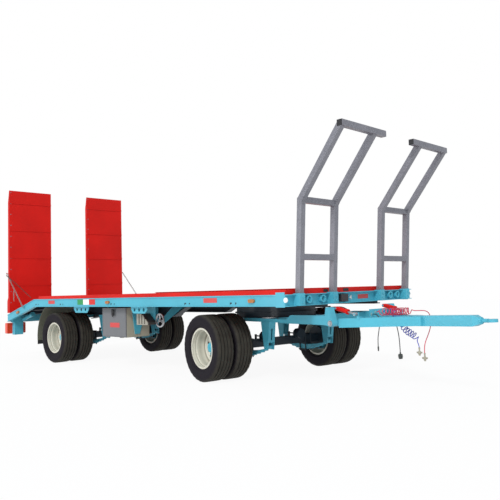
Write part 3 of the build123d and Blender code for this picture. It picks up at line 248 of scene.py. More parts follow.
def deckRed():
    # red paint with tyre scuffs along the deck and a dark line at each plate seam
    finish = Finish("deckRedPaint")
    point = finish.point()
    x, _, z = finish.axes(point)
    drift = finish.noise(point, 1.3, 4.0)
    tone = finish.mix(finish.clamped(drift, 0.35, 0.75), palette["red"], toned(palette["red"], 0.80))
    streak = finish.noise(finish.stretched(point, (0.7, 22.0, 2.0)), 3.0, 5.0)
    scuffs = finish.clamped(streak, 0.60, 0.82) * z.between(*deckWear["scuffs"])
    seam = ((x + deckWear["seamStart"]) / deckWear["seamPitch"]).math("FRACT") < deckWear["seamShare"]
    worn = finish.mix(scuffs * 0.35, tone, deckWear["scuffTone"])
    lined = finish.mix(seam * z.between(*deckWear["seams"]), worn, toned(palette["red"], 0.3))
    peel = finish.noise(point, 220.0, 2.0)
    return finish.surface(colour=lined, roughness=finish.clamped(drift, 0.2, 0.8) * 0.12 + 0.44, specular=0.16,
                          normal=finish.bump(peel, 0.0008, 0.25))


def galvanised():
    # hot-dip zinc: flat crystals a few millimetres across, each a little lighter or duller
    finish = Finish("galvanisedSteel")
    point = finish.point()
    crystal = finish.add("ShaderNodeTexVoronoi", {"feature": "F1"}, {"Vector": point, "Scale": 110.0}, "Color")
    level = finish.add("ShaderNodeSeparateColor", None, {0: crystal})
    cloud = finish.noise(point, 5.0, 5.0)
    colour = finish.mix(finish.clamped(level * 0.55 + cloud * 0.6, 0.25, 0.9),
                        toned(palette["zinc"], 0.80), toned(palette["zinc"], 1.25))
    return finish.surface(colour=colour, roughness=level * 0.16 + 0.36, metallic=0.35,
                          normal=finish.bump(level, 0.0004, 0.2))


def tyreRubber():
    # near black sidewalls, and a dusty grey-brown tread where treadShare is one
    finish = Finish("tyreRubber")
    worn = finish.add("ShaderNodeAttribute", {"attribute_name": "treadShare"}, None, "Fac")
    point = finish.point()
    grain = finish.noise(point, 90.0, 4.0)
    dust = finish.clamped(finish.noise(point, 11.0, 4.0), 0.3, 0.8)
    side = finish.mix(dust * 0.5, *palette["sideRubber"])
    tread = finish.mix(dust, *palette["treadRubber"])
    return finish.surface(colour=finish.mix(worn, side, tread), roughness=grain * 0.15 + 0.70, specular=0.20,
                          normal=finish.bump(grain, 0.0012, 0.35))


def rubber(name, colour, roughness=0.5):
    finish = Finish(name)
    grain = finish.noise(finish.point(), 55.0, 4.0)
    return finish.surface(colour=finish.mix(grain, toned(colour, 0.75), toned(colour, 1.2)),
                          roughness=grain * 0.2 + roughness - 0.1, normal=finish.bump(grain, 0.0004, 0.3))


def steel(name, colour, roughness=0.35, metallic=0.8):
    finish = Finish(name)
    point = finish.point()
    grain = finish.noise(finish.stretched(point, (1.0, 1.0, 8.0)), 45.0, 5.0)
    stain = finish.clamped(finish.noise(point, 9.0, 4.0), 0.5, 0.8)
    clean = finish.mix(grain, toned(colour, 0.8), toned(colour, 1.15))
    return finish.surface(colour=finish.mix(stain * 0.4, clean, palette["rust"]), roughness=grain * 0.2 + roughness,
                          metallic=metallic)


def lens(name, colour, cells):
    # moulded lens with small prisms behind a glossy skin
    finish = Finish(name)
    prism = finish.add("ShaderNodeTexVoronoi", {"feature": "F1", "distance": "CHEBYCHEV"},
                       {"Vector": finish.point(), "Scale": cells, "Randomness": 0.0}, "Distance")
    shade = finish.mix(finish.clamped(prism, 0.1, 0.7), toned(colour, 1.15), toned(colour, 0.6))
    return finish.surface(colour=shade, roughness=0.30, coat=0.4, coatRoughness=0.08, specular=0.3,
                          normal=finish.bump(prism, 0.002, 0.35))


def creamWithRecessShade():
    # wheel paint, darkened towards brown by painted shade in the dish's corners and recesses
    finish = Finish("rimCreamWithPaintedShade")
    depth = finish.add("ShaderNodeAttribute", {"attribute_name": "recessShade"}, None, "Fac")
    grain = finish.noise(finish.point(), 26.0, 4.0)
    # the recess share mixes the cream towards the painted shade tone
    colour = finish.mix(depth * 0.75 + grain * 0.12, palette["cream"], palette["recessShadeTone"])
    return finish.surface(colour=colour, roughness=grain * 0.15 + 0.40, specular=0.35,
                          normal=finish.bump(grain, 0.0006, 0.2))


redFinish = deckRed()
zincFinish = galvanised()
tyreFinish = tyreRubber()
recessShadedCreamFinish = creamWithRecessShade()
# black rubber for flaps, caps and latch, also used as painted shade in the rail slots
blackRubberAndShadeFinish = rubber("blackRubberAndSlotShade", palette["flap"], 0.7)
# near black painted shade for the rims' hand holes, which are not cut
holeShadeFinish = rubber("holeShadeDark", palette["opening"], 0.9)
hoseRedFinish = rubber("redHose", palette["hoseRed"], 0.36)
hoseBlueFinish = rubber("blueHose", palette["hoseBlue"], 0.36)
cableFinish = rubber("blackCable", palette["cable"], 0.45)
plateFinish = rubber("plainRedPlate", palette["plateRed"], 0.45)
stripeFinishes = [rubber(name, palette[key], 0.42) for name, key in (
    ("stripeGreen", "stripeGreen"), ("stripeWhite", "stripeWhite"), ("stripeRed", "red"))]
chainFinish = steel("chainSteel", (0.30, 0.29, 0.28), 0.4, 0.6)
darkChainFinish = steel("oiledChain", (0.045, 0.035, 0.032), 0.45, 0.5)
rodFinish = steel("bareSteel", (0.42, 0.43, 0.45), 0.25, 0.85)
lampFinish = lens("redLampLens", (0.78, 0.050, 0.012), 60.0)
amberFinish = lens("amberLens", (0.42, 0.145, 0.020), 220.0)
whiteFinish = lens("whiteReflector", (0.82, 0.82, 0.80), 260.0)
print("metals, rubber and lenses mixed")

# where the dark socket box sits in the front channel, and where the chock's ribs begin
socketBox = {"across": (-0.312, -0.168), "height": (0.993, 1.087), "depth": 0.0515, "tone": (0.035, 0.030, 0.034)}
# the chock's near black trough tone is painted shade
chockRibs = {"face": -1.1285, "troughShade": (0.030, 0.028, 0.026), "rib": (0.330, 0.310, 0.255)}


def frontBeamFinish():
    # sky blue with the dark socket box in the channel
    finish = Finish("frontBeamPaint")
    point = finish.point()
    x, y, z = finish.axes(point)
    grain = finish.noise(point, 30.0, 3.0)
    blue = finish.mix(finish.clamped(grain, 0.4, 0.8), palette["skyBlue"], toned(palette["skyBlue"], 0.88))
    inBox = y.between(*socketBox["across"]) * z.between(*socketBox["height"]) * (x > frontEdge - socketBox["depth"])
    return finish.surface(colour=finish.mix(inBox, blue, socketBox["tone"]), roughness=grain * 0.1 + 0.38,
                          specular=0.30, normal=finish.bump(finish.noise(point, 260.0, 2.0), 0.0008, 0.25))


def chockFinish():
    # moulded chock: pale ribs, with the troughs between them painted near black as shade
    finish = Finish("wheelChockMoulding")
    point = finish.point()
    _, y, _ = finish.axes(point)
    grain = finish.noise(point, 40.0, 4.0)
    colour = finish.mix((y < chockRibs["face"]) * 0.9, chockRibs["troughShade"], chockRibs["rib"])
    return finish.surface(colour=colour, roughness=grain * 0.2 + 0.5, normal=finish.bump(grain, 0.001, 0.3))


finishGroups = (
    # the underframe's near black is partly painted shade under the deck
    (darkPaintAndShadeFinish, "air_tank cross_members main_beams turntable_lower turntable_upper front_axle rear_axle"),
    (redFinish, "deck_floor kerbs ramp_left ramp_right strut_barrel_left strut_barrel_right"),
    (creamFinish, "rims_front_left rims_front_right rims_rear_left rims_rear_right"),
    (rodFinish, "strut_rod_left strut_rod_right brake_wheel"), (zincFinish, "bale_frame_left bale_frame_right"),
    (guardFinish, "mudguards"), (blackRubberAndShadeFinish, "mud_flaps"), (lampFinish, "rear_lamps"), (amberFinish, "side_markers"),
    (boxCreamFinish, "tool_box"), (boxGreyFinish, "tool_box_door"), (fittingFinish, "line_couplings"),
    (chockFinish(), "wheel_chock"), (frontBeamFinish(), "front_beam"),
)
finishOf = {name: finish for finish, names in finishGroups for name in names.split()}
for name, node in nodes.items():
    node.data.materials.clear()
    node.data.materials.append(finishOf.get(name, blueFinish))  # the rest is sky blue
print("solid parts painted")


def newPiece(name, mesh, finish, body, place=Matrix(), angle=38):
    # a bmesh becomes a shaded object that rides on its body
    bmesh.ops.recalc_face_normals(mesh, faces=mesh.faces)
    data = bpy.data.meshes.new(name)
    mesh.to_mesh(data)
    mesh.free()
    data.transform(place)
    data.shade_smooth()
    data.set_sharp_from_angle(angle=math.radians(angle))
    data.materials.append(finish)
    piece = bpy.data.objects.new(name, data)
    bpy.context.scene.collection.objects.link(piece)
    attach(piece, body)
    return piece


def turnTo(direction):
    return Vector(direction).to_track_quat("Z", "Y").to_matrix().to_4x4()


def addDisc(mesh, centre, direction, radius, height, sides=16, top=None, spin=0.0):
    # short post standing on centre along direction, with an optional smaller top
    direction = Vector(direction).normalized()
    middle = Vector(centre) + direction * (height / 2)
    place = Matrix.Translation(middle) @ turnTo(direction) @ Matrix.Rotation(spin, 4, "Z")
    bmesh.ops.create_cone(mesh, cap_ends=True, segments=sides, radius1=radius,
                          radius2=radius if top is None else top, depth=height, matrix=place)


def addStack(mesh, centre, direction, stack):
    # turned parts behind one another, as (step along direction, radius, height, sides and perhaps a top radius)
    direction = Vector(direction).normalized()
    for step, *disc in stack:
        addDisc(mesh, Vector(centre) + direction * step, direction, *disc)


def addPlate(mesh, centre, size, edge):
    # flat plate with its edges broken
    made = bmesh.ops.create_cube(mesh, size=1.0, matrix=Matrix.Translation(centre) @ Matrix.Diagonal((*size, 1)))
    edges = list({e for v in made["verts"] for e in v.link_edges})
    bmesh.ops.bevel(mesh, geom=edges, offset=edge, segments=2, affect="EDGES")


def addLoop(mesh, path, radius, sides=8, closed=True):
    # round wire along points
    rings, across = [], None
    count = len(path)
    for i, point in enumerate(path):
        before = path[i - 1] if closed or i else path[0]
        after = path[(i + 1) % count] if closed or i < count - 1 else path[-1]
        along = (after - before).normalized()
        across = (across - along * across.dot(along)).normalized() if rings else along.orthogonal().normalized()
        over = along.cross(across)
        rings.append([mesh.verts.new(point + (across * math.cos(t) + over * math.sin(t)) * radius)
                      for t in (2 * math.pi * k / sides for k in range(sides))])
    pairs = list(zip(rings, rings[1:])) + ([(rings[-1], rings[0])] if closed else [])
    for one, two in pairs:
        # where a closed wire meets its start, the nearest points are joined
        shift = min(range(sides), key=lambda k: (one[0].co - two[k].co).length) if one is rings[-1] else 0
        for k in range(sides):
            mesh.faces.new((one[k], one[(k + 1) % sides], two[(k + 1 + shift) % sides], two[(k + shift) % sides]))
    if not closed:
        mesh.faces.new(rings[0][::-1])
        mesh.faces.new(rings[-1])


def addTurned(mesh, shares, profileAt, segments, closed=False):
    # surface about a wheel's axis: profileAt(i) gives the (radius, y, share) points at one step around
    rings = []
    for i in range(segments):
        turn = 2 * math.pi * i / segments
        ring = []
        for r, y, share in profileAt(i):
            vertex = mesh.verts.new((r * math.cos(turn), y, r * math.sin(turn)))
            vertex[shares] = share
            ring.append(vertex)
        rings.append(ring)
    for one, two in zip(rings, rings[1:] + rings[:1]):
        for k in range(len(one) - 1):
            mesh.faces.new((one[k], one[k + 1], two[k + 1], two[k]))
        if closed:
            mesh.faces.new((one[-1], one[0], two[0], two[-1]))


def around(count, radius, y, offset=0.5):
    # places on a circle about a wheel's axis
    turns = (2 * math.pi * (i + offset) / count for i in range(count))
    return [(radius * math.cos(turn), y, radius * math.sin(turn)) for turn in turns]


# routes of the drawbar's lines, as the photo shows them, in the drawbar's own frame
redCoilRoute = [
    (1.990, -0.055, 0.862), (2.056, -0.057, 0.863), (2.140, -0.062, 0.865), (2.240, -0.066, 0.866),
    (2.340, -0.060, 0.866), (2.436, -0.040, 0.866), (2.516, 0.000, 0.868),
]
redTailRoute = [
    (2.546, 0.016, 0.868), (2.582, 0.052, 0.868), (2.604, 0.100, 0.856), (2.612, 0.134, 0.812), (2.610, 0.142, 0.748),
    (2.606, 0.132, 0.676), (2.596, 0.104, 0.606), (2.582, 0.070, 0.540), (2.570, 0.049, 0.470), (2.570, 0.049, 0.402),
]
blueCoilRoute = [
    (1.990, 0.050, 0.860), (2.052, 0.050, 0.860), (2.136, 0.044, 0.856), (2.220, 0.026, 0.838), (2.288, 0.004, 0.788),
    (2.326, -0.006, 0.716), (2.372, -0.008, 0.652), (2.438, -0.005, 0.620), (2.498, -0.001, 0.588),
    (2.540, 0.000, 0.530), (2.540, 0.000, 0.466),
]
blackCableRoute = [
    (1.990, -0.122, 0.842), (2.032, -0.122, 0.842), (2.074, -0.123, 0.820), (2.092, -0.124, 0.774),
    (2.084, -0.122, 0.704), (2.064, -0.120, 0.632), (2.042, -0.118, 0.556), (2.042, -0.118, 0.474),
]
lampCableRoute = [
    (1.990, 0.118, 0.842), (2.030, 0.118, 0.842), (2.076, 0.114, 0.822), (2.120, 0.100, 0.776), (2.162, 0.076, 0.716),
    (2.206, 0.046, 0.652), (2.238, 0.024, 0.578), (2.250, 0.016, 0.494), (2.250, 0.016, 0.404),
]
hoseSizes = {"thickness": 0.0095, "cable": 0.010, "coilPoints": 14, "slowTurns": 3.0, "uneven": 0.03, "sway": 0.37}
# turns per metre go from open to close over a share of the route; the fades are metres of opening out
redCoil = {"radius": 0.0410, "fadeStart": 0.10, "fadeEnd": 0.09, "open": 18, "close": 42, "from": 0.40, "over": 0.12}
blueCoil = {"radius": 0.0370, "fadeStart": 0.10, "fadeEnd": 0.16, "open": 15, "close": 29, "from": 0.42, "over": 0.20}


def splineCurve(name, points, thickness, finish=None):
    data = bpy.data.curves.new(name, "CURVE")
    data.dimensions = "3D"
    data.resolution_u = 6
    spline = data.splines.new("NURBS")
    spline.points.add(len(points) - 1)
    for control, point in zip(spline.points, points):
        control.co = (*point, 1)
    spline.order_u = 3
    spline.use_endpoint_u = True
    data.bevel_depth = thickness / 2
    data.bevel_resolution = 4
    data.use_fill_caps = True
    if finish:
        data.materials.append(finish)
    curve = bpy.data.objects.new(name, data)
    bpy.context.scene.collection.objects.link(curve)
    return curve


def pathOf(points):
    # points along a route's smooth line, evenly enough for a coil to follow
    curve = splineCurve("route", points, 0.0)
    mesh = bpy.data.meshes.new_from_object(curve)
    line = [vertex.co.copy() for vertex in mesh.vertices]
    bpy.data.meshes.remove(mesh)
    bpy.data.objects.remove(curve)
    return line


def turnsAt(coil, share):
    # turns per metre at a share of the route
    close = max(0.0, min(1.0, (share - coil["from"]) / coil["over"]))
    return coil["open"] + close * (coil["close"] - coil["open"])


def coiled(points, coil):
    # helix about the route's line that opens out and slows down towards both ends
    line = pathOf(points)
    lengths = [0.0]
    for one, two in zip(line, line[1:]):
        lengths.append(lengths[-1] + (two - one).length)
    total = lengths[-1]
    across = (line[1] - line[0]).orthogonal().normalized()
    helix, travelled, phase, index = [], 0.0, 0.0, 0
    while travelled < total:
        while index < len(lengths) - 2 and lengths[index + 1] < travelled:
            index += 1
        along = (line[index + 1] - line[index]).normalized()
        share = (travelled - lengths[index]) / max(1e-9, lengths[index + 1] - lengths[index])
        centre = line[index].lerp(line[index + 1], share)
        across = (across - along * across.dot(along)).normalized()
        over = along.cross(across)
        grow = max(0.0, min(1.0, travelled / coil["fadeStart"], (total - travelled) / coil["fadeEnd"]))
        grow = (1 - math.cos(math.pi * grow)) / 2
        loose = 1 - hoseSizes["uneven"] * (1 - math.sin(phase * hoseSizes["sway"]))
        reach = coil["radius"] * grow * loose
        helix.append(centre + (across * math.cos(phase) + over * math.sin(phase)) * reach)
        slow = hoseSizes["slowTurns"]
        rate = slow + (turnsAt(coil, travelled / total) - slow) * grow ** 3
        phase += 2 * math.pi / hoseSizes["coilPoints"]
        travelled += 1 / (rate * hoseSizes["coilPoints"])
    return helix


def curveLength(points):
    line = pathOf(points)
    return sum((two - one).length for one, two in zip(line, line[1:]))


down = (0, 0, -1)
# fittings at the lines' free ends: turned parts as in addStack, the rest as sizes and drops below the line's end
couplingSizes = {
    "turned": ((0, 0.0105, 0.014, 6), (0.014, 0.0085, 0.026, 16), (0.038, 0.011, 0.008, 24, 0.0165),
               (0.046, 0.0165, 0.024, 24), (0.070, 0.0165, 0.006, 24, 0.0125), (0.076, 0.0125, 0.012, 24, 0.0110)),
    "wing": (0.028, 0.016, 0.014), "wingReach": 0.023, "wingDrop": 0.053, "wingEdge": 0.003,
    "post": ((0.046, 0.0066, 0.018, 12),), "postReach": 0.031,
}
plugSizes = {
    "turned": ((0, 0.0075, 0.024, 16, 0.009),), "body": (0.040, 0.034, 0.050), "bodyDrop": 0.046, "bodyEdge": 0.004,
    "rib": (0.0432, 0.0372, 0.004), "ribs": 4, "ribDrop": 0.030, "ribPitch": 0.009, "thinEdge": 0.001,
    "flap": (0.030, 0.037, 0.006), "flapShift": -0.0005, "flapDrop": 0.0745,
}
socketSizes = {
    "turned": ((0, 0.0072, 0.016, 16, 0.0095), (0.016, 0.0095, 0.018, 10), (0.034, 0.0080, 0.022, 16, 0.0068)),
}


def couplingHead(mesh, x, y, z):
    # winged brake coupling: gland, neck, round body with a dished face, and two wings with their posts
    addStack(mesh, (x, y, z), down, couplingSizes["turned"])
    for way in (-1, 1):
        wing = (x + way * couplingSizes["wingReach"], y, z - couplingSizes["wingDrop"])
        addPlate(mesh, wing, couplingSizes["wing"], couplingSizes["wingEdge"])
        addStack(mesh, (x + way * couplingSizes["postReach"], y, z), down, couplingSizes["post"])


def lampPlug(mesh, x, y, z):
    # square plug with a ribbed grip and a hinged flap
    addStack(mesh, (x, y, z), down, plugSizes["turned"])
    addPlate(mesh, (x, y, z - plugSizes["bodyDrop"]), plugSizes["body"], plugSizes["bodyEdge"])
    for k in range(plugSizes["ribs"]):
        drop = plugSizes["ribDrop"] + plugSizes["ribPitch"] * k
        addPlate(mesh, (x, y, z - drop), plugSizes["rib"], plugSizes["thinEdge"])
    flap = (x, y + plugSizes["flapShift"], z - plugSizes["flapDrop"])
    addPlate(mesh, flap, plugSizes["flap"], plugSizes["thinEdge"])


def endSocket(mesh, x, y, z):
    # plain round end with a grip ring
    addStack(mesh, (x, y, z), down, socketSizes["turned"])


def asPoints(route):
    return [Vector(point) for point in route]


# name, points in the drawbar's frame, thickness, finish, nodes it stands for, slot, fitting and its finish
cordTable = (
    ("redAirHose", coiled(redCoilRoute, redCoil) + asPoints(redTailRoute), hoseSizes["thickness"], hoseRedFinish,
     ("red_air_hose", "red_hose_tail"), "hose_red", couplingHead, fittingFinish),
    ("blueAirHose", coiled(blueCoilRoute, blueCoil) + asPoints(blueCoilRoute[-1:]), hoseSizes["thickness"],
     hoseBlueFinish, ("blue_air_hose",), "hose_blue", couplingHead, fittingFinish),
    ("blackCable", asPoints(blackCableRoute), hoseSizes["cable"], cableFinish,
     ("black_cable",), "cable_black", endSocket, plugFinish),
    ("lampCable", asPoints(lampCableRoute), hoseSizes["cable"], cableFinish,
     ("lamp_cable",), "cable_black", lampPlug, plugFinish),
)

for name, points, thickness, finish, stands, slot, fitting, fittingPaint in cordTable:
    placed = [drawbarPlace @ point for point in points]
    cordPiece = splineCurve(name, placed, thickness, finish)
    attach(cordPiece, "drawbar")
    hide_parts(*stands)
    length = curveLength(placed)
    mesh = bmesh.new()
    fitting(mesh, *points[-1])
    end = newPiece(name + "End", mesh, fittingPaint, "drawbar", drawbarPlace)
    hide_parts("line_couplings")
    print("cord", name, round(length, 2), "m,", len(points), "points")

tyreSizes = {
    "segments": 96, "crown": 0.4330, "crownFall": 0.10, "treadEdge": (0.4315, 0.098),
    "grooves": (-0.072, -0.024, 0.024, 0.072), "grooveHalf": 0.0045, "grooveDepth": 0.011, "grooveLip": 0.0015,
    "notch": 0.0045, "notchEvery": 3, "notchFrom": (0.4145, 0.098),
    # (radius, y, tread share) from the bead up the sidewall to the shoulder
    "wall": (
        (0.2495, 0.088, 0), (0.2495, 0.0945, 0), (0.2668, 0.0955, 0), (0.2675, 0.103, 0), (0.276, 0.110, 0),
        (0.296, 0.1205, 0), (0.2985, 0.1235, 0), (0.302, 0.1235, 0), (0.3045, 0.1225, 0), (0.330, 0.1288, 0),
        (0.352, 0.1308, 0), (0.374, 0.1300, 0), (0.394, 0.1268, 0), (0.4005, 0.1262, 0.15), (0.404, 0.1238, 0.2),
        (0.416, 0.1195, 0.45), (0.4245, 0.1140, 0.8), (0.4290, 0.1065, 1),
    ),
}


def tyreProfile():
    # from one bead over the grooved tread to the other
    half, depth, lip = (tyreSizes[key] for key in ("grooveHalf", "grooveDepth", "grooveLip"))
    edgeRadius, edgeY = tyreSizes["treadEdge"]
    tread = [(edgeRadius, edgeY, 1)]
    for y in reversed(tyreSizes["grooves"]):
        top = tyreSizes["crown"] - tyreSizes["crownFall"] * y * y
        tread += [(top, y + half + lip, 1), (top - depth, y + half, 0.2)]
        tread += [(top - depth, y - half, 0.2), (top, y - half - lip, 1)]
    tread.append((edgeRadius, -edgeY, 1))
    return [*tyreSizes["wall"], *tread, *((r, -y, share) for r, y, share in reversed(tyreSizes["wall"]))]


def tyreAt(centreY):
    # the profile at each step around, with notches in the shoulders
    profile = tyreProfile()
    fromRadius, fromY = tyreSizes["notchFrom"]
    plain = [(r, y + centreY, share) for r, y, share in profile]
    notched = [(r - tyreSizes["notch"] if r > fromRadius and abs(y) > fromY else r, y + centreY, share)
               for r, y, share in profile]
    return lambda i: plain if i % tyreSizes["notchEvery"] else notched


wheelPlaces = {}
for end, place in (("front", bogiePlace), ("rear", rearPlace)):
    for side, word in sideWords:
        centre = Matrix.Translation((0, side * layout["dualCentre"], layout["wheelCentre"]))
        wheelPlaces[end + "_" + word] = (place @ centre, side)

for word, (place, side) in wheelPlaces.items():
    mesh = bmesh.new()
    shares = mesh.verts.layers.float.new("treadShare")
    for sign in (-1, 1):
        addTurned(mesh, shares, tyreAt(sign * layout["dualSpacing"] / 2), tyreSizes["segments"], True)
    pair = newPiece("tyrePair_" + word, mesh, tyreFinish, "wheel_" + word, place)
    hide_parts("tyres_" + word)
print("tyres moulded")

rimSizes = {
    "segments": 72, "holes": 10, "holeCircle": 0.157, "holeFace": 0.0525, "hole": (0.019, 0.004, 24),
    # (radius, y, painted recess shade share) from the flange down the barrel and over the dished disc
    "profile": (
        (0.2400, 0.2440, 0), (0.2400, 0.2180, 0), (0.2365, 0.2120, 0.5), (0.2365, 0.1900, 0), (0.2310, 0.1830, 0),
        (0.2290, 0.1350, 0.35), (0.2290, 0.0850, 0), (0.2200, 0.0680, 0.9), (0.2080, 0.0620, 1.0),
        (0.1990, 0.0690, 0.8), (0.1930, 0.0790, 0), (0.1840, 0.0800, 0), (0.1780, 0.0745, 0),
        (0.1700, 0.0600, 0.35), (0.1620, 0.0545, 0), (0.1330, 0.0500, 0), (0.1325, 0.0380, 0),
    ),
}

for word, (place, side) in wheelPlaces.items():
    mesh = bmesh.new()
    shares = mesh.verts.layers.float.new("recessShade")
    dish = [(r, side * y, share) for r, y, share in rimSizes["profile"]]
    addTurned(mesh, shares, lambda i: dish, rimSizes["segments"])
    newPiece("rimDish_" + word, mesh, recessShadedCreamFinish, "wheel_" + word, place, 28)
    # dark discs on the dish face stand for the hand holes, which are not cut: painted shade in their openings
    mesh = bmesh.new()
    for spot in around(rimSizes["holes"], rimSizes["holeCircle"], side * rimSizes["holeFace"]):
        addDisc(mesh, spot, (0, side, 0), *rimSizes["hole"])
    newPiece("handHoles_" + word, mesh, holeShadeFinish, "wheel_" + word, place)
print("rims dished")

hubSizes = {
    "nuts": 10, "nutCircle": 0.113, "face": 0.0475,
    "nut": ((0, 0.018125, 0.004, 20), (0.004, 0.0145, 0.018, 6), (0.020, 0.0087, 0.012, 12, 0.00725)),
    "capFace": 0.122, "cap": ((0, 0.052, 0.008, 32, 0.044), (0.008, 0.012, 0.006, 6)),
    "capScrews": 6, "capCircle": 0.050, "screwSink": 0.002, "screw": (0.005, 0.006, 6),
    "stemRadius": 0.205, "stemTurn": 0.3, "stemFace": 0.064, "stemLean": (0.25, 0.1),
    "stem": ((0, 0.0045, 0.055, 10), (0.055, 0.0060, 0.012, 10)),
}

for word, (place, side) in wheelPlaces.items():
    out = (0, side, 0)
    mesh = bmesh.new()
    for spot in around(hubSizes["nuts"], hubSizes["nutCircle"], side * hubSizes["face"]):
        addStack(mesh, spot, out, hubSizes["nut"])
    addStack(mesh, (0, side * hubSizes["capFace"], 0), out, hubSizes["cap"])
    screwY = side * (hubSizes["capFace"] - hubSizes["screwSink"])
    for spot in around(hubSizes["capScrews"], hubSizes["capCircle"], screwY, 0):
        addDisc(mesh, spot, out, *hubSizes["screw"])
    newPiece("wheelNuts_" + word, mesh, blueFinish, "wheel_" + word, place)
    mesh = bmesh.new()
    radius, turn = hubSizes["stemRadius"], hubSizes["stemTurn"]
    stem = (radius * math.cos(turn), side * hubSizes["stemFace"], radius * math.sin(turn))
    addStack(mesh, stem, (hubSizes["stemLean"][0], side, hubSizes["stemLean"][1]), hubSizes["stem"])
    newPiece("tyreValve_" + word, mesh, rodFinish, "wheel_" + word, place)
print("wheel nuts and valves fitted")

chainSizes = {
    "foot": (-6.800, 0.96576), "head": (-7.530, 1.625), "y": 1.293, "wire": 0.008, "width": 0.028, "links": 21,
    "pinSlack": 0.0058, "gap": 0.0003, "play": 0.0012, "wireShare": 0.96, "wireSides": 7, "bendSteps": 6,
}
# what hangs beside the near ramp: the chain's spare end and a dark stay, as (x, z) points
looseChain = {
    "spare": ((-7.160, 1.284), (-7.168, 1.240), (-7.176, 1.180), (-7.172, 1.120), (-7.158, 1.070)),
    "stay": ((-7.512, 1.585), (-7.100, 1.426), (-6.760, 1.282), (-6.430, 1.142)),
    "y": -1.3065, "pitch": 0.030, "width": 0.021, "wire": 0.0058,
}


def linkPath(innerLength, width, wire):
    half = (width - wire) / 2
    straight = innerLength / 2 + wire / 2 - half
    path = []
    for end in (1, -1):
        for k in range(chainSizes["bendSteps"] + 1):
            turn = -math.pi / 2 + math.pi * k / chainSizes["bendSteps"]
            path.append(Vector((end * (straight + half * math.cos(turn)), end * half * math.sin(turn), 0)))
    return path


def strungChain(mesh, points, width, wire):
    # links end to end along points, every second one turned
    flat = False
    for one, two in zip(points, points[1:]):
        along = two - one
        place = Matrix.Translation((one + two) / 2) @ turnTo(along) @ Matrix.Rotation(math.pi / 2, 4, "Y")
        if flat:
            place = place @ Matrix.Rotation(math.pi / 2, 4, "X")
        path = [place @ point for point in linkPath(along.length + chainSizes["play"], width, wire)]
        addLoop(mesh, path, wire / 2 * chainSizes["wireShare"], chainSizes["wireSides"])
        flat = not flat


for side, word in sideWords:
    foot, head = (Vector((x, side * chainSizes["y"], z)) for x, z in (chainSizes["foot"], chainSizes["head"]))
    along = (head - foot).normalized()
    reach = (head - foot).length + 2 * chainSizes["pinSlack"] - chainSizes["gap"]
    start = foot - along * chainSizes["pinSlack"]
    points = [start + along * reach * i / chainSizes["links"] for i in range(chainSizes["links"] + 1)]
    mesh = bmesh.new()
    strungChain(mesh, points, chainSizes["width"], chainSizes["wire"])
    chain = newPiece("rampChain_" + word, mesh, chainFinish, "ramp_chain_" + word, chassisPlace, 60)
    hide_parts("ramp_chain_" + word)


def hangChain(name, route, finish):
    line = pathOf([Vector((x, looseChain["y"], z)) for x, z in route])
    points, travelled = [line[0]], 0.0
    for one, two in zip(line, line[1:]):
        travelled += (two - one).length
        if travelled >= looseChain["pitch"]:
            points.append(two)
            travelled = 0.0
    mesh = bmesh.new()
    strungChain(mesh, points, looseChain["width"], looseChain["wire"])
    newPiece(name, mesh, finish, "ramp_chain_right", chassisPlace, 60)


hangChain("spareChain_right", looseChain["spare"], chainFinish)
hangChain("darkStay_right", looseChain["stay"], darkChainFinish)
print("chains linked")

# discs are (radius, height, sides, top radius); each slot pairs two dark plates of painted shade, as (shift along the
# rail, length)
railTrim = {
    "web": 1.267, "thickness": 0.0022, "edge": 0.0006, "stripe": (-4.779, -4.214), "stripeZ": (1.006, 1.094),
    "plates": ((-5.817, -5.580), (-1.502, -1.236)), "plateZ": (1.022, 1.082),
    "slots": (-6.26, -5.33, -3.69, -1.84, -0.93), "slotZ": 1.016, "slotPair": ((-0.045, 0.034), (0.045, 0.020)),
    "slotHeight": 0.017, "slotDepth": 0.0016, "slotOut": 0.0006, "slotEdge": 0.0005,
    "tabShift": 0.35, "tabShare": 0.3, "tabDrop": 0.010, "tabHeight": 0.020,
    "rivets": 24, "firstRivet": -0.35, "rivetPitch": 0.255, "rivetDrop": 0.007, "rivetSink": 0.0005,
    "rivet": (0.0045, 0.003, 8, 0.0032), "reflector": (-0.045, 1.045), "reflectorDisc": (0.031, 0.010, 32, 0.028),
}


def trimPlate(name, span, heights, finish):
    # thin plate on the near rail: the stripe and the bare plates are only known there
    (side, word), (x0, x1), (z0, z1) = sideWords[0], span, heights
    mesh = bmesh.new()
    y = side * (railTrim["web"] + railTrim["thickness"] / 2)
    size = (x1 - x0, railTrim["thickness"], z1 - z0)
    addPlate(mesh, ((x0 + x1) / 2, y, (z0 + z1) / 2), size, railTrim["edge"])
    newPiece(name + "_" + word, mesh, finish, "chassis", chassisPlace)


stripeStart, stripeEnd = railTrim["stripe"]
third = (stripeEnd - stripeStart) / 3
for i, finish in enumerate(stripeFinishes):
    span = (stripeStart + third * i, stripeStart + third * (i + 1))
    trimPlate("stripe" + str(i), span, railTrim["stripeZ"], finish)
for i, span in enumerate(railTrim["plates"]):
    trimPlate("plate" + str(i), span, railTrim["plateZ"], plateFinish)

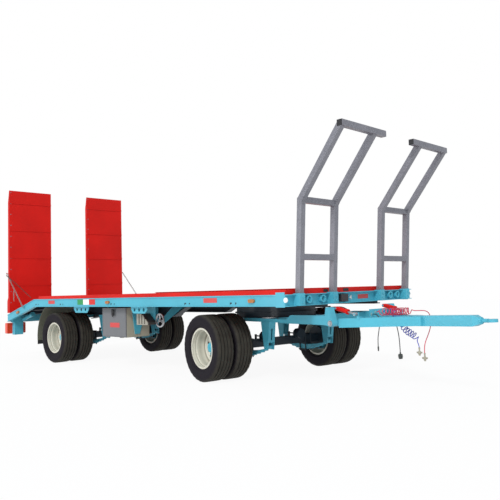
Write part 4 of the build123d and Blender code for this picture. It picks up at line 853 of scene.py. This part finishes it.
for side, word in sideWords:
    slots, rivets, reflector = bmesh.new(), bmesh.new(), bmesh.new()
    slotY, slotZ, depth = side * (railTrim["web"] + railTrim["slotOut"]), railTrim["slotZ"], railTrim["slotDepth"]
    # the slots and their tabs are not cut: dark plates just proud of the web paint the shade in their openings
    for x in railTrim["slots"]:
        for shift, length in railTrim["slotPair"]:
            addPlate(slots, (x + shift, slotY, slotZ), (length, depth, railTrim["slotHeight"]), railTrim["slotEdge"])
            tab = (x + shift - length * railTrim["tabShift"], slotY, slotZ - railTrim["tabDrop"])
            tabSize = (length * railTrim["tabShare"], depth, railTrim["tabHeight"])
            addPlate(slots, tab, tabSize, railTrim["slotEdge"])
    rivetY = side * (layout["halfWidth"] - railTrim["rivetSink"])
    rivetZ = layout["railTop"] - railTrim["rivetDrop"]
    for i in range(railTrim["rivets"]):
        x = railTrim["firstRivet"] - i * railTrim["rivetPitch"]
        addDisc(rivets, (x, rivetY, rivetZ), (0, side, 0), *railTrim["rivet"])
    x, z = railTrim["reflector"]
    addDisc(reflector, (x, side * railTrim["web"], z), (0, side, 0), *railTrim["reflectorDisc"])
    newPiece("railSlotShade_" + word, slots, blackRubberAndShadeFinish, "chassis", chassisPlace)
    newPiece("railRivets_" + word, rivets, blueFinish, "chassis", chassisPlace)
    newPiece("roundReflector_" + word, reflector, whiteFinish, "chassis", chassisPlace)
print("rail trim fitted")

# plates are (x, y0, y1, z0, z1), spots are full places, discs as before
frontTrim = {
    "plate": (-0.0505, 0.080, 0.300, 1.015, 1.070), "plateDepth": 0.003, "edge": 0.0008,
    "reflector": (-0.052, -0.072, 1.040), "reflectorDisc": (0.034, 0.005, 3, 0.03196), "reflectorTurn": 90,
    "marks": ((-0.600, -0.520), (-0.215, -0.110)), "markSides": ((-0.0505, 1.1385, 0.004, 0.034),
                                                                 (-0.072, 1.1645, 0.036, 0.004)),
    "valve": (-0.043, -0.386, 1.036), "valveSize": (0.016, 0.042, 0.062), "valveEdge": 0.003,
    "valvePorts": (((-0.036, -0.386, 1.050), (0.012, 0.010, 16)), ((-0.036, -0.386, 1.022), (0.008, 0.014, 6))),
    "bossYs": (-0.906, -0.655, 0.760, 0.931), "ringX": -0.030, "ringZ": 1.034, "ringReach": (0.024, 0.028),
    "ringSteps": 20, "ringWire": 0.0055, "boltX": -0.052, "boltZ": 1.044, "bolt": (0.011, 0.014, 6),
}


def dressFront():
    # bare plate, warning triangle, kerb marks, line valve and lashing rings
    forward = (1, 0, 0)
    plate, mark, marks, valve, rings = (bmesh.new() for _ in range(5))
    x, y0, y1, z0, z1 = frontTrim["plate"]
    addPlate(plate, (x, (y0 + y1) / 2, (z0 + z1) / 2), (frontTrim["plateDepth"], y1 - y0, z1 - z0), frontTrim["edge"])
    turn = math.radians(frontTrim["reflectorTurn"])
    addDisc(mark, frontTrim["reflector"], forward, *frontTrim["reflectorDisc"], turn)
    for y0, y1 in frontTrim["marks"]:
        for x, z, depth, height in frontTrim["markSides"]:
            addPlate(marks, (x, (y0 + y1) / 2, z), (depth, y1 - y0, height), frontTrim["edge"])
    addPlate(valve, frontTrim["valve"], frontTrim["valveSize"], frontTrim["valveEdge"])
    for spot, disc in frontTrim["valvePorts"]:
        addDisc(valve, spot, forward, *disc)
    reachY, reachZ = frontTrim["ringReach"]
    for y in frontTrim["bossYs"]:
        turns = [2 * math.pi * k / frontTrim["ringSteps"] for k in range(frontTrim["ringSteps"])]
        ring = [Vector((frontTrim["ringX"], y + reachY * math.cos(t), frontTrim["ringZ"] + reachZ * math.sin(t)))
                for t in turns]
        addLoop(rings, ring, frontTrim["ringWire"])
        addDisc(rings, (frontTrim["boltX"], y, frontTrim["boltZ"]), forward, *frontTrim["bolt"])
    for name, mesh, finish, slot in (
            ("frontPlate", plate, plateFinish, "deck_red"), ("frontReflector", mark, whiteFinish, "lamp_amber"),
            ("kerbMarks", marks, blackRubberAndShadeFinish, "flap_black"), ("frontValve", valve, guardFinish, "coupling_grey"),
            ("lashingRings", rings, blueFinish, "frame_blue")):
        newPiece(name, mesh, finish, "chassis", chassisPlace)


dressFront()

# each cap closes the top bar at y, on the side that out gives
frameTrim = {
    "top": (0.700, 2.942), "caps": ((0.300, -1), (1.130, 1)), "cap": (0.069, 0.005, 0.069), "capEdge": 0.0015,
    "boltX": 0.0535, "boltYs": (0.493, 1.095), "boltZs": (1.070, 1.015), "bolt": (0.012, 0.009, 6),
}


def capFrames():
    # plastic caps in the open tube ends and the bolts at the posts' feet
    for side, word in sideWords:
        caps, bolts = bmesh.new(), bmesh.new()
        for y, out in frameTrim["caps"]:
            capY = side * (y + out * frameTrim["cap"][1] / 2)
            addPlate(caps, (frameTrim["top"][0], capY, frameTrim["top"][1]), frameTrim["cap"], frameTrim["capEdge"])
        for y in frameTrim["boltYs"]:
            for z in frameTrim["boltZs"]:
                addDisc(bolts, (frameTrim["boltX"], side * y, z), (1, 0, 0), *frameTrim["bolt"])
        newPiece("tubeCaps_" + word, caps, blackRubberAndShadeFinish, "chassis", chassisPlace)
        newPiece("socketBolts_" + word, bolts, blueFinish, "chassis", chassisPlace)


capFrames()
print("front beam and bale frames trimmed")

rampTrim = {
    "inner": 0.402, "outer": 1.255, "bottom": 0.852, "top": 3.263, "proud": 0.0001,
    "dots": 11, "dotInset": 0.030, "dotFoot": 0.20, "dotEnds": 0.24, "dot": (0.0095, 0.003, 14, 0.008),
    "rivets": 6, "rivetInset": 0.06, "rivetFoot": 0.35, "rivetPitch": 0.40, "rivet": (0.006, 0.003, 10, 0.004),
}
for side, word in sideWords:
    dots, rivets = bmesh.new(), bmesh.new()
    edgeY = -rampTrim["outer"] if side < 0 else rampTrim["inner"]
    dotPitch = (rampTrim["top"] - rampTrim["bottom"] - rampTrim["dotEnds"]) / (rampTrim["dots"] - 1)
    for i in range(rampTrim["dots"]):
        z = rampTrim["bottom"] + rampTrim["dotFoot"] + i * dotPitch
        spot = (layout["rampFace"] + rampTrim["proud"], edgeY + rampTrim["dotInset"], z)
        addDisc(dots, spot, (1, 0, 0), *rampTrim["dot"])
    for y in (rampTrim["inner"] + rampTrim["rivetInset"], rampTrim["outer"] - rampTrim["rivetInset"]):
        for i in range(rampTrim["rivets"]):
            z = rampTrim["bottom"] + rampTrim["rivetFoot"] + i * rampTrim["rivetPitch"]
            addDisc(rivets, (layout["rampFace"] - rampTrim["proud"], side * y, z), (1, 0, 0), *rampTrim["rivet"])
    newPiece("rampDots_" + word, dots, zincFinish, "ramp_" + word, chassisPlace)
    newPiece("rampRivets_" + word, rivets, redFinish, "ramp_" + word, chassisPlace)
print("ramps dressed")

# the door's outer face is at y; each latch part stands out from it and hangs below the door's top
boxTrim = {
    "x": (-4.180, -3.500), "y": -1.160, "z": (0.500, 0.948), "plate": (-3.950, -3.680, 0.650, 0.722),
    "plateDepth": 0.003, "plateOut": 0.001, "plateEdge": 0.0008,
    "latchBack": (0.0135, 0.066, (0.094, 0.006, 0.100), 0.0025),
    "latchGrip": (0.022, 0.105, (0.030, 0.012, 0.060), 0.004),
    "latchDisc": (0.016, 0.052, (0.034, 0.012, 28, 0.029)), "beadInset": 0.018, "beadWire": 0.003, "beadSides": 6,
}


def dressToolBox():
    # the door's latch, its bare plate and the bead pressed around it
    latch, plate, bead = bmesh.new(), bmesh.new(), bmesh.new()
    middle, face, top = sum(boxTrim["x"]) / 2, boxTrim["y"], boxTrim["z"][1]
    for key in ("latchBack", "latchGrip"):
        out, drop, size, edge = boxTrim[key]
        addPlate(latch, (middle, face - out, top - drop), size, edge)
    out, drop, disc = boxTrim["latchDisc"]
    addDisc(latch, (middle, face - out, top - drop), (0, -1, 0), *disc)
    newPiece("boxLatch", latch, blackRubberAndShadeFinish, "tool_box_door", chassisPlace)
    x0, x1, z0, z1 = boxTrim["plate"]
    size = (x1 - x0, boxTrim["plateDepth"], z1 - z0)
    addPlate(plate, ((x0 + x1) / 2, face - boxTrim["plateOut"], (z0 + z1) / 2), size, boxTrim["plateEdge"])
    newPiece("boxPlate", plate, plateFinish, "tool_box_door", chassisPlace)
    inset = boxTrim["beadInset"]
    (x0, x1), (z0, z1) = boxTrim["x"], boxTrim["z"]
    corners = [Vector((x, face, z)) for x, z in ((x0 + inset, z0 + inset), (x1 - inset, z0 + inset),
                                                 (x1 - inset, z1 - inset), (x0 + inset, z1 - inset))]
    for one, two in zip(corners, corners[1:] + corners[:1]):
        addLoop(bead, [one, one.lerp(two, 0.5), two], boxTrim["beadWire"], boxTrim["beadSides"], False)
    newPiece("boxBead", bead, boxGreyFinish, "tool_box_door", chassisPlace)


dressToolBox()

# the lamps stand behind the tail; cells are (shift across, width) and screws (shift across, height)
lampTrim = {
    "stand": 0.0143, "depth": 0.100, "middle": 1.090, "cellZ": 0.551, "cellOut": 0.0012, "cellSize": (0.005, 0.172),
    "cells": ((-0.118, 0.096), (0.0, 0.116), (0.118, 0.096)), "cellEdge": 0.0018,
    "screws": ((-0.166, 0.462), (0.166, 0.462), (-0.166, 0.640), (0.166, 0.640)), "screw": (0.005, 0.003, 8),
}


def dressLamps():
    back = -(layout["flatLength"] + layout["tailRun"] + lampTrim["stand"] + lampTrim["depth"])
    for side, word in sideWords:
        lenses, screws = bmesh.new(), bmesh.new()
        y = side * lampTrim["middle"]
        depth, height = lampTrim["cellSize"]
        for shift, width in lampTrim["cells"]:
            spot = (back - lampTrim["cellOut"], y + shift, lampTrim["cellZ"])
            addPlate(lenses, spot, (depth, width, height), lampTrim["cellEdge"])
        for shift, z in lampTrim["screws"]:
            addDisc(screws, (back, y + shift, z), (-1, 0, 0), *lampTrim["screw"])
        newPiece("lampLenses_" + word, lenses, lampFinish, "chassis", chassisPlace)
        newPiece("lampScrews_" + word, screws, rodFinish, "chassis", chassisPlace)


dressLamps()

# glands are the (y, z) of the lines' inner ends on their bracket
drawbarTrim = {
    "hingeY": 0.5605, "hinge": ((0, 0.034, 0.008, 24), (0.008, 0.024, 0.014, 6)),
    "eye": (3.345, 0, 0.758), "eyeCollar": (0.040, 0.016, 24, 0.034),
    "boltX": 3.276, "boltY": 0.040, "boltZs": (0.718, 0.798), "bolt": (0.008, 0.010, 6),
    "glandX": 1.9702, "glands": ((-0.055, 0.862), (0.050, 0.862), (-0.122, 0.842), (0.118, 0.842)),
    "gland": (0.0145, 0.010, 6),
}


def dressDrawbar():
    # hinge bolts, the towing eye's collar with its bolts, and a gland for each line
    forward = (1, 0, 0)
    hinges, collar, glands = bmesh.new(), bmesh.new(), bmesh.new()
    x, _, z = layout["hinge"]
    for side, _ in sideWords:
        addStack(hinges, (x, side * drawbarTrim["hingeY"], z), (0, side, 0), drawbarTrim["hinge"])
    newPiece("hingeBolts", hinges, rodFinish, "bogie", bogiePlace)
    addDisc(collar, drawbarTrim["eye"], forward, *drawbarTrim["eyeCollar"])
    for z in drawbarTrim["boltZs"]:
        for side in (-1, 1):
            addDisc(collar, (drawbarTrim["boltX"], side * drawbarTrim["boltY"], z), forward, *drawbarTrim["bolt"])
    newPiece("eyeCollar", collar, blueFinish, "drawbar", drawbarPlace)
    for y, z in drawbarTrim["glands"]:
        addDisc(glands, (drawbarTrim["glandX"], y, z), forward, *drawbarTrim["gland"])
    newPiece("lineGlands", glands, fittingFinish, "drawbar", drawbarPlace)


dressDrawbar()
print("tool box, lamps and drawbar dressed")

# each panel has its place, what it faces, its size in metres and its power in watts
studio = {
    "floorSize": 60, "floorDrop": 0.001, "floorTone": (0.80, 0.80, 0.80, 1), "floorWhite": 0.93,
    "white": (1, 1, 1, 1),
    "sky": (0.93, 0.96, 1.0, 1), "skyStrength": 0.80, "sunTurn": (52, 0, 28), "sunStrength": 1.7, "sunAngle": 12,
    "panels": (("lowPanel", (4.5, -7.5, 0.3), (-1.5, 0, 0.6), 3.0, 190),
               ("sidePanel", (-5.5, -8.0, 0.4), (-4.0, 0, 0.6), 3.0, 140)),
}


def makeFloor():
    # pale floor that is white to the camera and in reflections, and keeps the trailer's shadow
    finish = Finish("studioFloor")
    camera = finish.add("ShaderNodeLightPath", output="Is Camera Ray")
    seen = camera.math("MAXIMUM", camera.sibling("Is Glossy Ray"))
    white = finish.add("ShaderNodeEmission", None, {"Color": studio["white"], "Strength": 1.0})
    matt = finish.add("ShaderNodeBsdfDiffuse", None, {"Color": studio["floorTone"]})
    share = seen * studio["floorWhite"]
    finish.finishWith(finish.add("ShaderNodeMixShader", None, {0: share, 1: matt, 2: white}))
    mesh = bmesh.new()
    bmesh.ops.create_grid(mesh, x_segments=1, y_segments=1, size=studio["floorSize"] / 2)
    data = bpy.data.meshes.new("studioFloor")
    mesh.to_mesh(data)
    mesh.free()
    data.materials.append(finish.material)
    floor = bpy.data.objects.new("studioFloor", data)
    floor.location.z = -studio["floorDrop"]
    bpy.context.scene.collection.objects.link(floor)


def makeLight():
    world = bpy.data.worlds.new("studioSky")
    sky = Finish("studioSky", world)
    camera = sky.add("ShaderNodeLightPath", output="Is Camera Ray")
    seen = camera.math("MAXIMUM", camera.sibling("Is Transmission Ray"))
    soft = sky.add("ShaderNodeBackground", None, {"Color": studio["sky"], "Strength": studio["skyStrength"]})
    white = sky.add("ShaderNodeBackground", None, {"Color": studio["white"]})
    sky.finishWith(sky.add("ShaderNodeMixShader", None, {0: seen, 1: soft, 2: white}), "ShaderNodeOutputWorld")
    bpy.context.scene.world = world
    sun = bpy.data.objects.new("sun", bpy.data.lights.new("sun", "SUN"))
    sun.data.energy = studio["sunStrength"]
    sun.data.angle = math.radians(studio["sunAngle"])
    sun.rotation_euler = tuple(math.radians(turn) for turn in studio["sunTurn"])
    bpy.context.scene.collection.objects.link(sun)
    for name, spot, aim, size, power in studio["panels"]:
        panel = bpy.data.objects.new(name, bpy.data.lights.new(name, "AREA"))
        panel.data.size = size
        panel.data.energy = power
        panel.matrix_world = Matrix.Translation(chassisPlace @ Vector(spot)) @ turnTo(Vector(spot) - Vector(aim))
        bpy.context.scene.collection.objects.link(panel)


makeFloor()
makeLight()
bpy.context.scene.view_settings.view_transform = "Standard"
print("studio lit")

bpy.context.view_layer.update()
